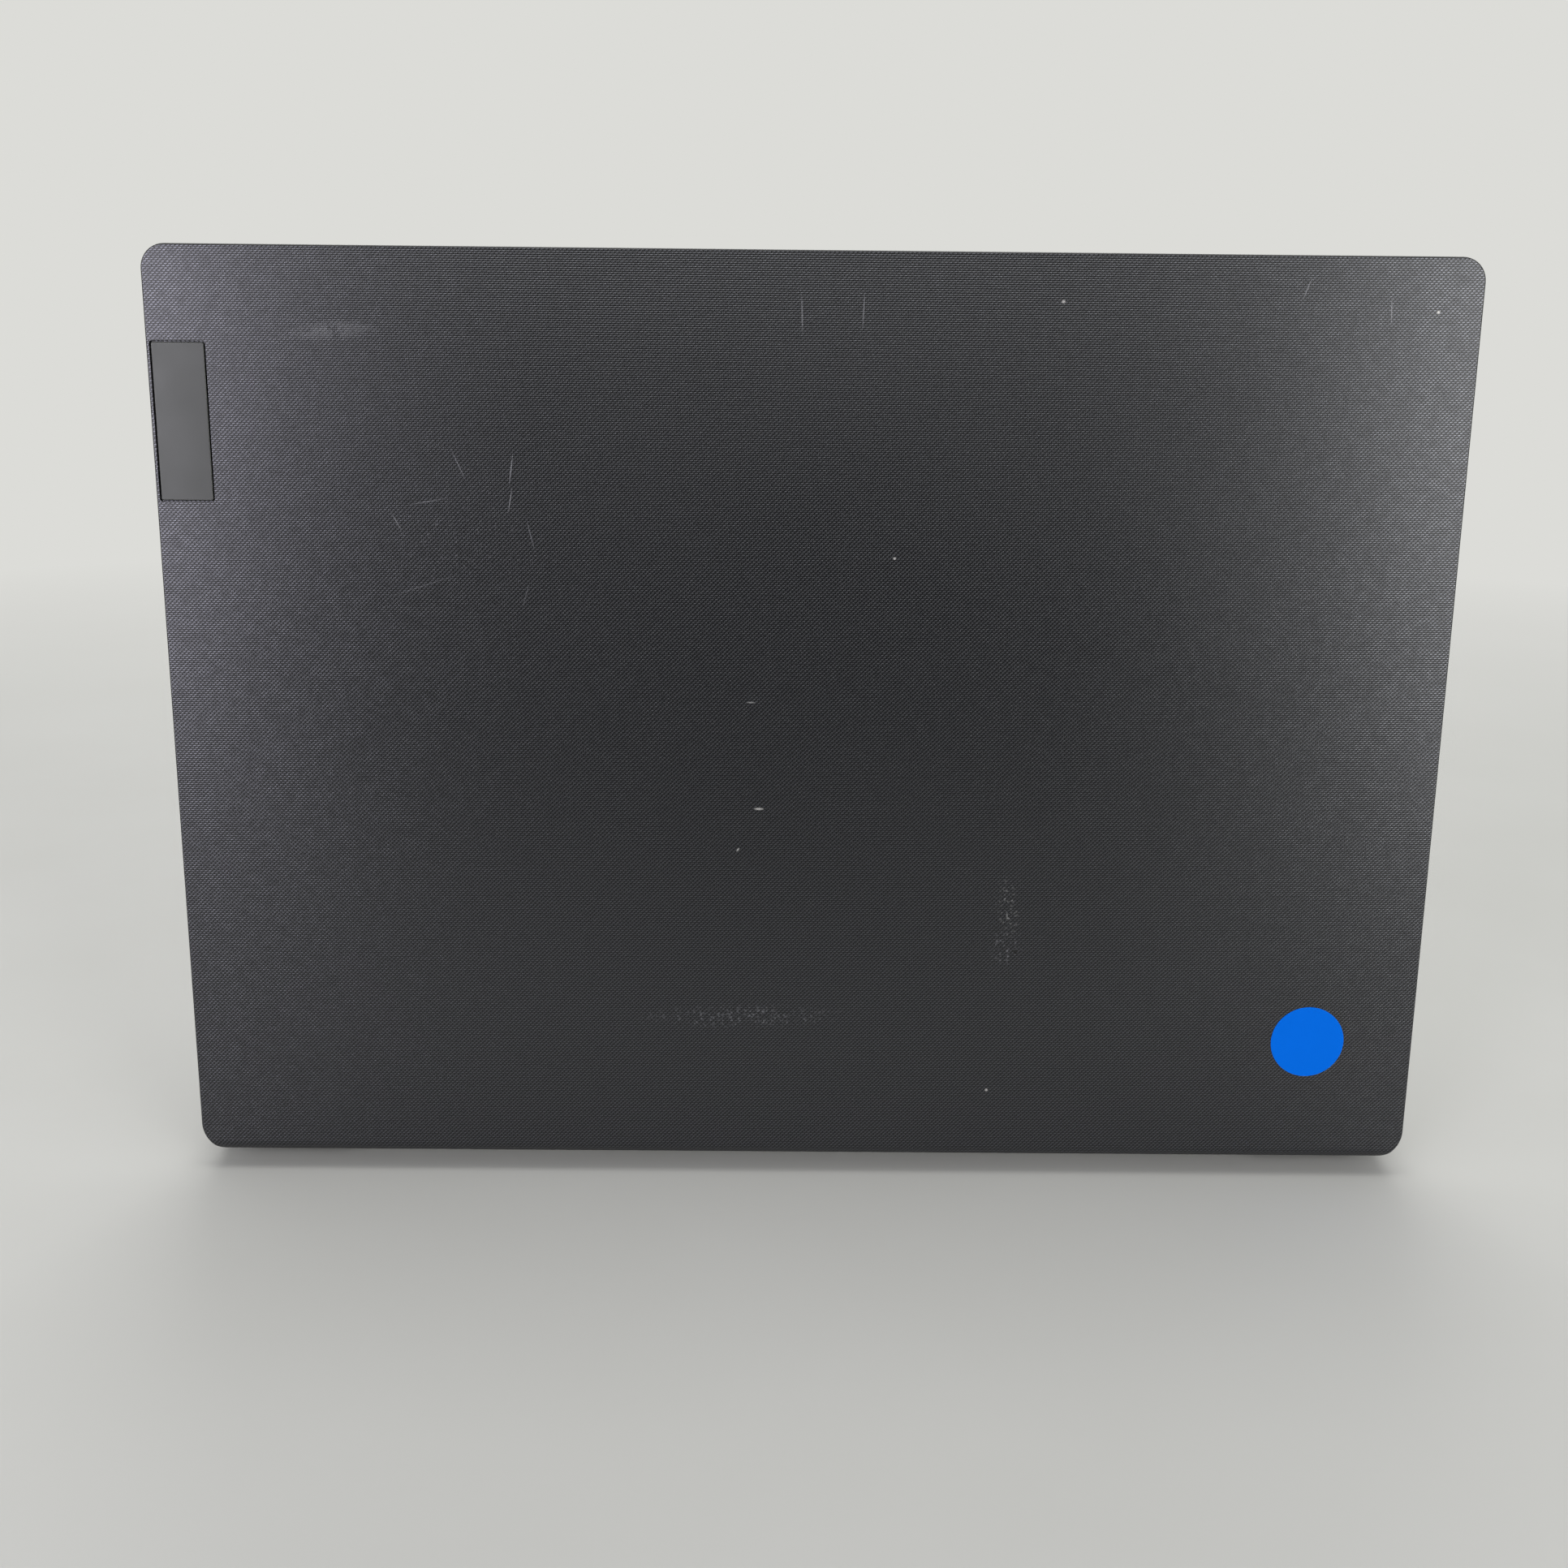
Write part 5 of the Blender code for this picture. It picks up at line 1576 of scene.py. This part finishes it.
    def paint_inside(self) -> None:
        """Better materials for what shows through the slots and the hinge gap."""
        repaint(WELL_ABS, "keyboard_plate", "fan_housing", "battery", "speaker_left", "speaker_right")
        repaint(KEYCAP_ABS, "fan_rotor")
        repaint(COPPER, "heat_pipe", "processor_plate")
        repaint(HINGE_STEEL, "cooling_fins", "wireless_card")
        repaint(SCREW_STEEL, "hinge_bracket_left", "hinge_bracket_right")
        repaint(LAMINATE, "main_board", "memory_module", "storage_drive")


# ---------------------------------------------------------------- studio


@dataclass(frozen=True)
class Softbox:
    """A soft rectangular lamp.

    Attributes:
        name: the lamp's name.
        place: where it hangs.
        aim: the point that it faces.
        wide: its width.
        tall: its height.
        power: its power in watts.
        tint: the colour of its light.
    """

    name: str
    place: Point
    aim: Point
    wide: float
    tall: float
    power: float
    tint: str = "#ffffff"

    def hang(self) -> None:
        """Adds the lamp to the studio."""
        clear_selection()
        turn = (Vector(self.aim) - Vector(self.place)).to_track_quat("-Z", "Y").to_euler()
        bpy.ops.object.light_add(type="AREA", location=self.place, rotation=turn)
        made = bpy.context.object
        made.name = self.name
        made.data.shape = "RECTANGLE"
        made.data.size = self.wide
        made.data.size_y = self.tall
        made.data.energy = self.power
        made.data.color = linear(self.tint)[:3]


SOFTBOXES = (
    Softbox("left_softbox", (0.88, 1.38, 0.38), (0.10, 0.11, 0.10), 0.50, 1.1, 11.5, "#f6f2ff"),
    Softbox("right_softbox", (-0.90, 1.36, 0.38), (-0.10, 0.11, 0.10), 0.48, 1.1, 10.2),
    Softbox("rear_softbox", (0.0, 2.0, 0.98), (0.0, 0.11, 0.2), 1.7, 0.34, 8.0),
    Softbox("top_softbox", (0.0, 0.0, 1.6), (0.0, 0.0, 0.0), 1.6, 1.2, 11.5),
    Softbox("front_softbox", (0.0, -1.6, 1.2), (0.0, 0.0, 0.1), 1.6, 1.2, 12.0),
)


@dataclass
class Studio:
    """The plain pale floor, the soft lamps and the camera."""

    floor_reach: float = 8.0
    backdrop: str = "#dcdcd8"
    fill: str = "#f4f6fa"
    ambient: float = 0.38
    gloom: float = 0.03
    gap_top: tuple[float, float] = (0.55, 0.30)
    gap_side: tuple[float, float] = (0.66, 0.88)
    camera_place: Point = (0.0088, 0.5074, 0.2175)
    camera_aim: Point = (0.0063, 0.1146, 0.1088)
    camera_roll: float = 0.59
    lens: float = 36.06
    sensor: float = 36.0

    def build(self) -> None:
        """Sets up floor, world, lamps and camera."""
        self.build_floor()
        self.build_world()
        for softbox in SOFTBOXES:
            softbox.hang()
        self.build_camera()
        bpy.context.scene.view_settings.view_transform = "Standard"

    def build_floor(self) -> None:
        """One large pale table top under the computer."""
        clear_selection()
        bpy.ops.mesh.primitive_plane_add(size=2 * self.floor_reach, location=(0, 0, 0))
        floor = bpy.context.object
        floor.name = "table_top"
        settle(floor)
        floor.data.materials.append(PaleTable("matt_white_laminate", "", backdrop=self.backdrop).make())

    def build_world(self) -> None:
        """A world that shows the backdrop's colour, and lights the surfaces with an even fill.

        Low behind the camera the room is dark, which leaves the lid's middle deep and satin.
        """
        world = bpy.data.worlds.new("studio_world")
        world.use_nodes = True
        bpy.context.scene.world = world
        tree = world.node_tree
        tree.nodes.clear()
        shown, unseen = sightlines(tree)
        way = add(tree, "SeparateXYZ", {"Vector": add(tree, "TexCoord", {}).outputs["Generated"]})
        level = add(tree, "MapRange", {0: way.outputs["Z"], 1: self.gap_top[0], 2: self.gap_top[1]})
        behind = add(tree, "MapRange", {0: way.outputs["Y"], 1: self.gap_side[0], 2: self.gap_side[1]})
        dark = add(tree, "Math", {0: level.outputs[0], 1: behind.outputs[0]}, operation="MULTIPLY")
        glow = add(tree, "MapRange", {0: dark.outputs[0], 3: self.ambient, 4: self.gloom})
        dark = add(tree, "Math", {0: dark.outputs[0], 1: unseen}, operation="MULTIPLY")
        pale = add(tree, "MapRange", {0: dark.outputs[0], 3: 1.0, 4: self.gloom})
        eye = add(tree, "Background", {"Color": linear(self.backdrop), "Strength": pale.outputs[0]})
        fill = add(tree, "Background", {"Color": linear(self.fill), "Strength": glow.outputs[0]})
        mixed = add(tree, "MixShader", {0: shown, 1: fill.outputs[0], 2: eye.outputs[0]})
        add(tree, "OutputWorld", {"Surface": mixed.outputs[0]})

    def build_camera(self) -> None:
        """The camera behind the computer, a little above it, looking slightly down."""
        clear_selection()
        away = Vector(self.camera_aim) - Vector(self.camera_place)
        turn = away.to_track_quat("-Z", "Y").to_matrix() @ Matrix.Rotation(
            math.radians(self.camera_roll), 3, "Z"
        )
        bpy.ops.object.camera_add(location=self.camera_place, rotation=turn.to_euler())
        camera = bpy.context.object
        camera.data.lens = self.lens
        camera.data.sensor_width = self.sensor
        camera.data.clip_start = 0.01
        camera.data.clip_end = 50.0
        bpy.context.scene.camera = camera


def main() -> None:
    """Builds the studio and then each part of the computer."""
    logging.basicConfig(level=logging.INFO, format="%(name)s %(message)s")
    Studio().build()
    Lid(Hinge.from_record()).build()
    Keyboard().build()
    Base().build()


if __name__ == "__main__":
    main()
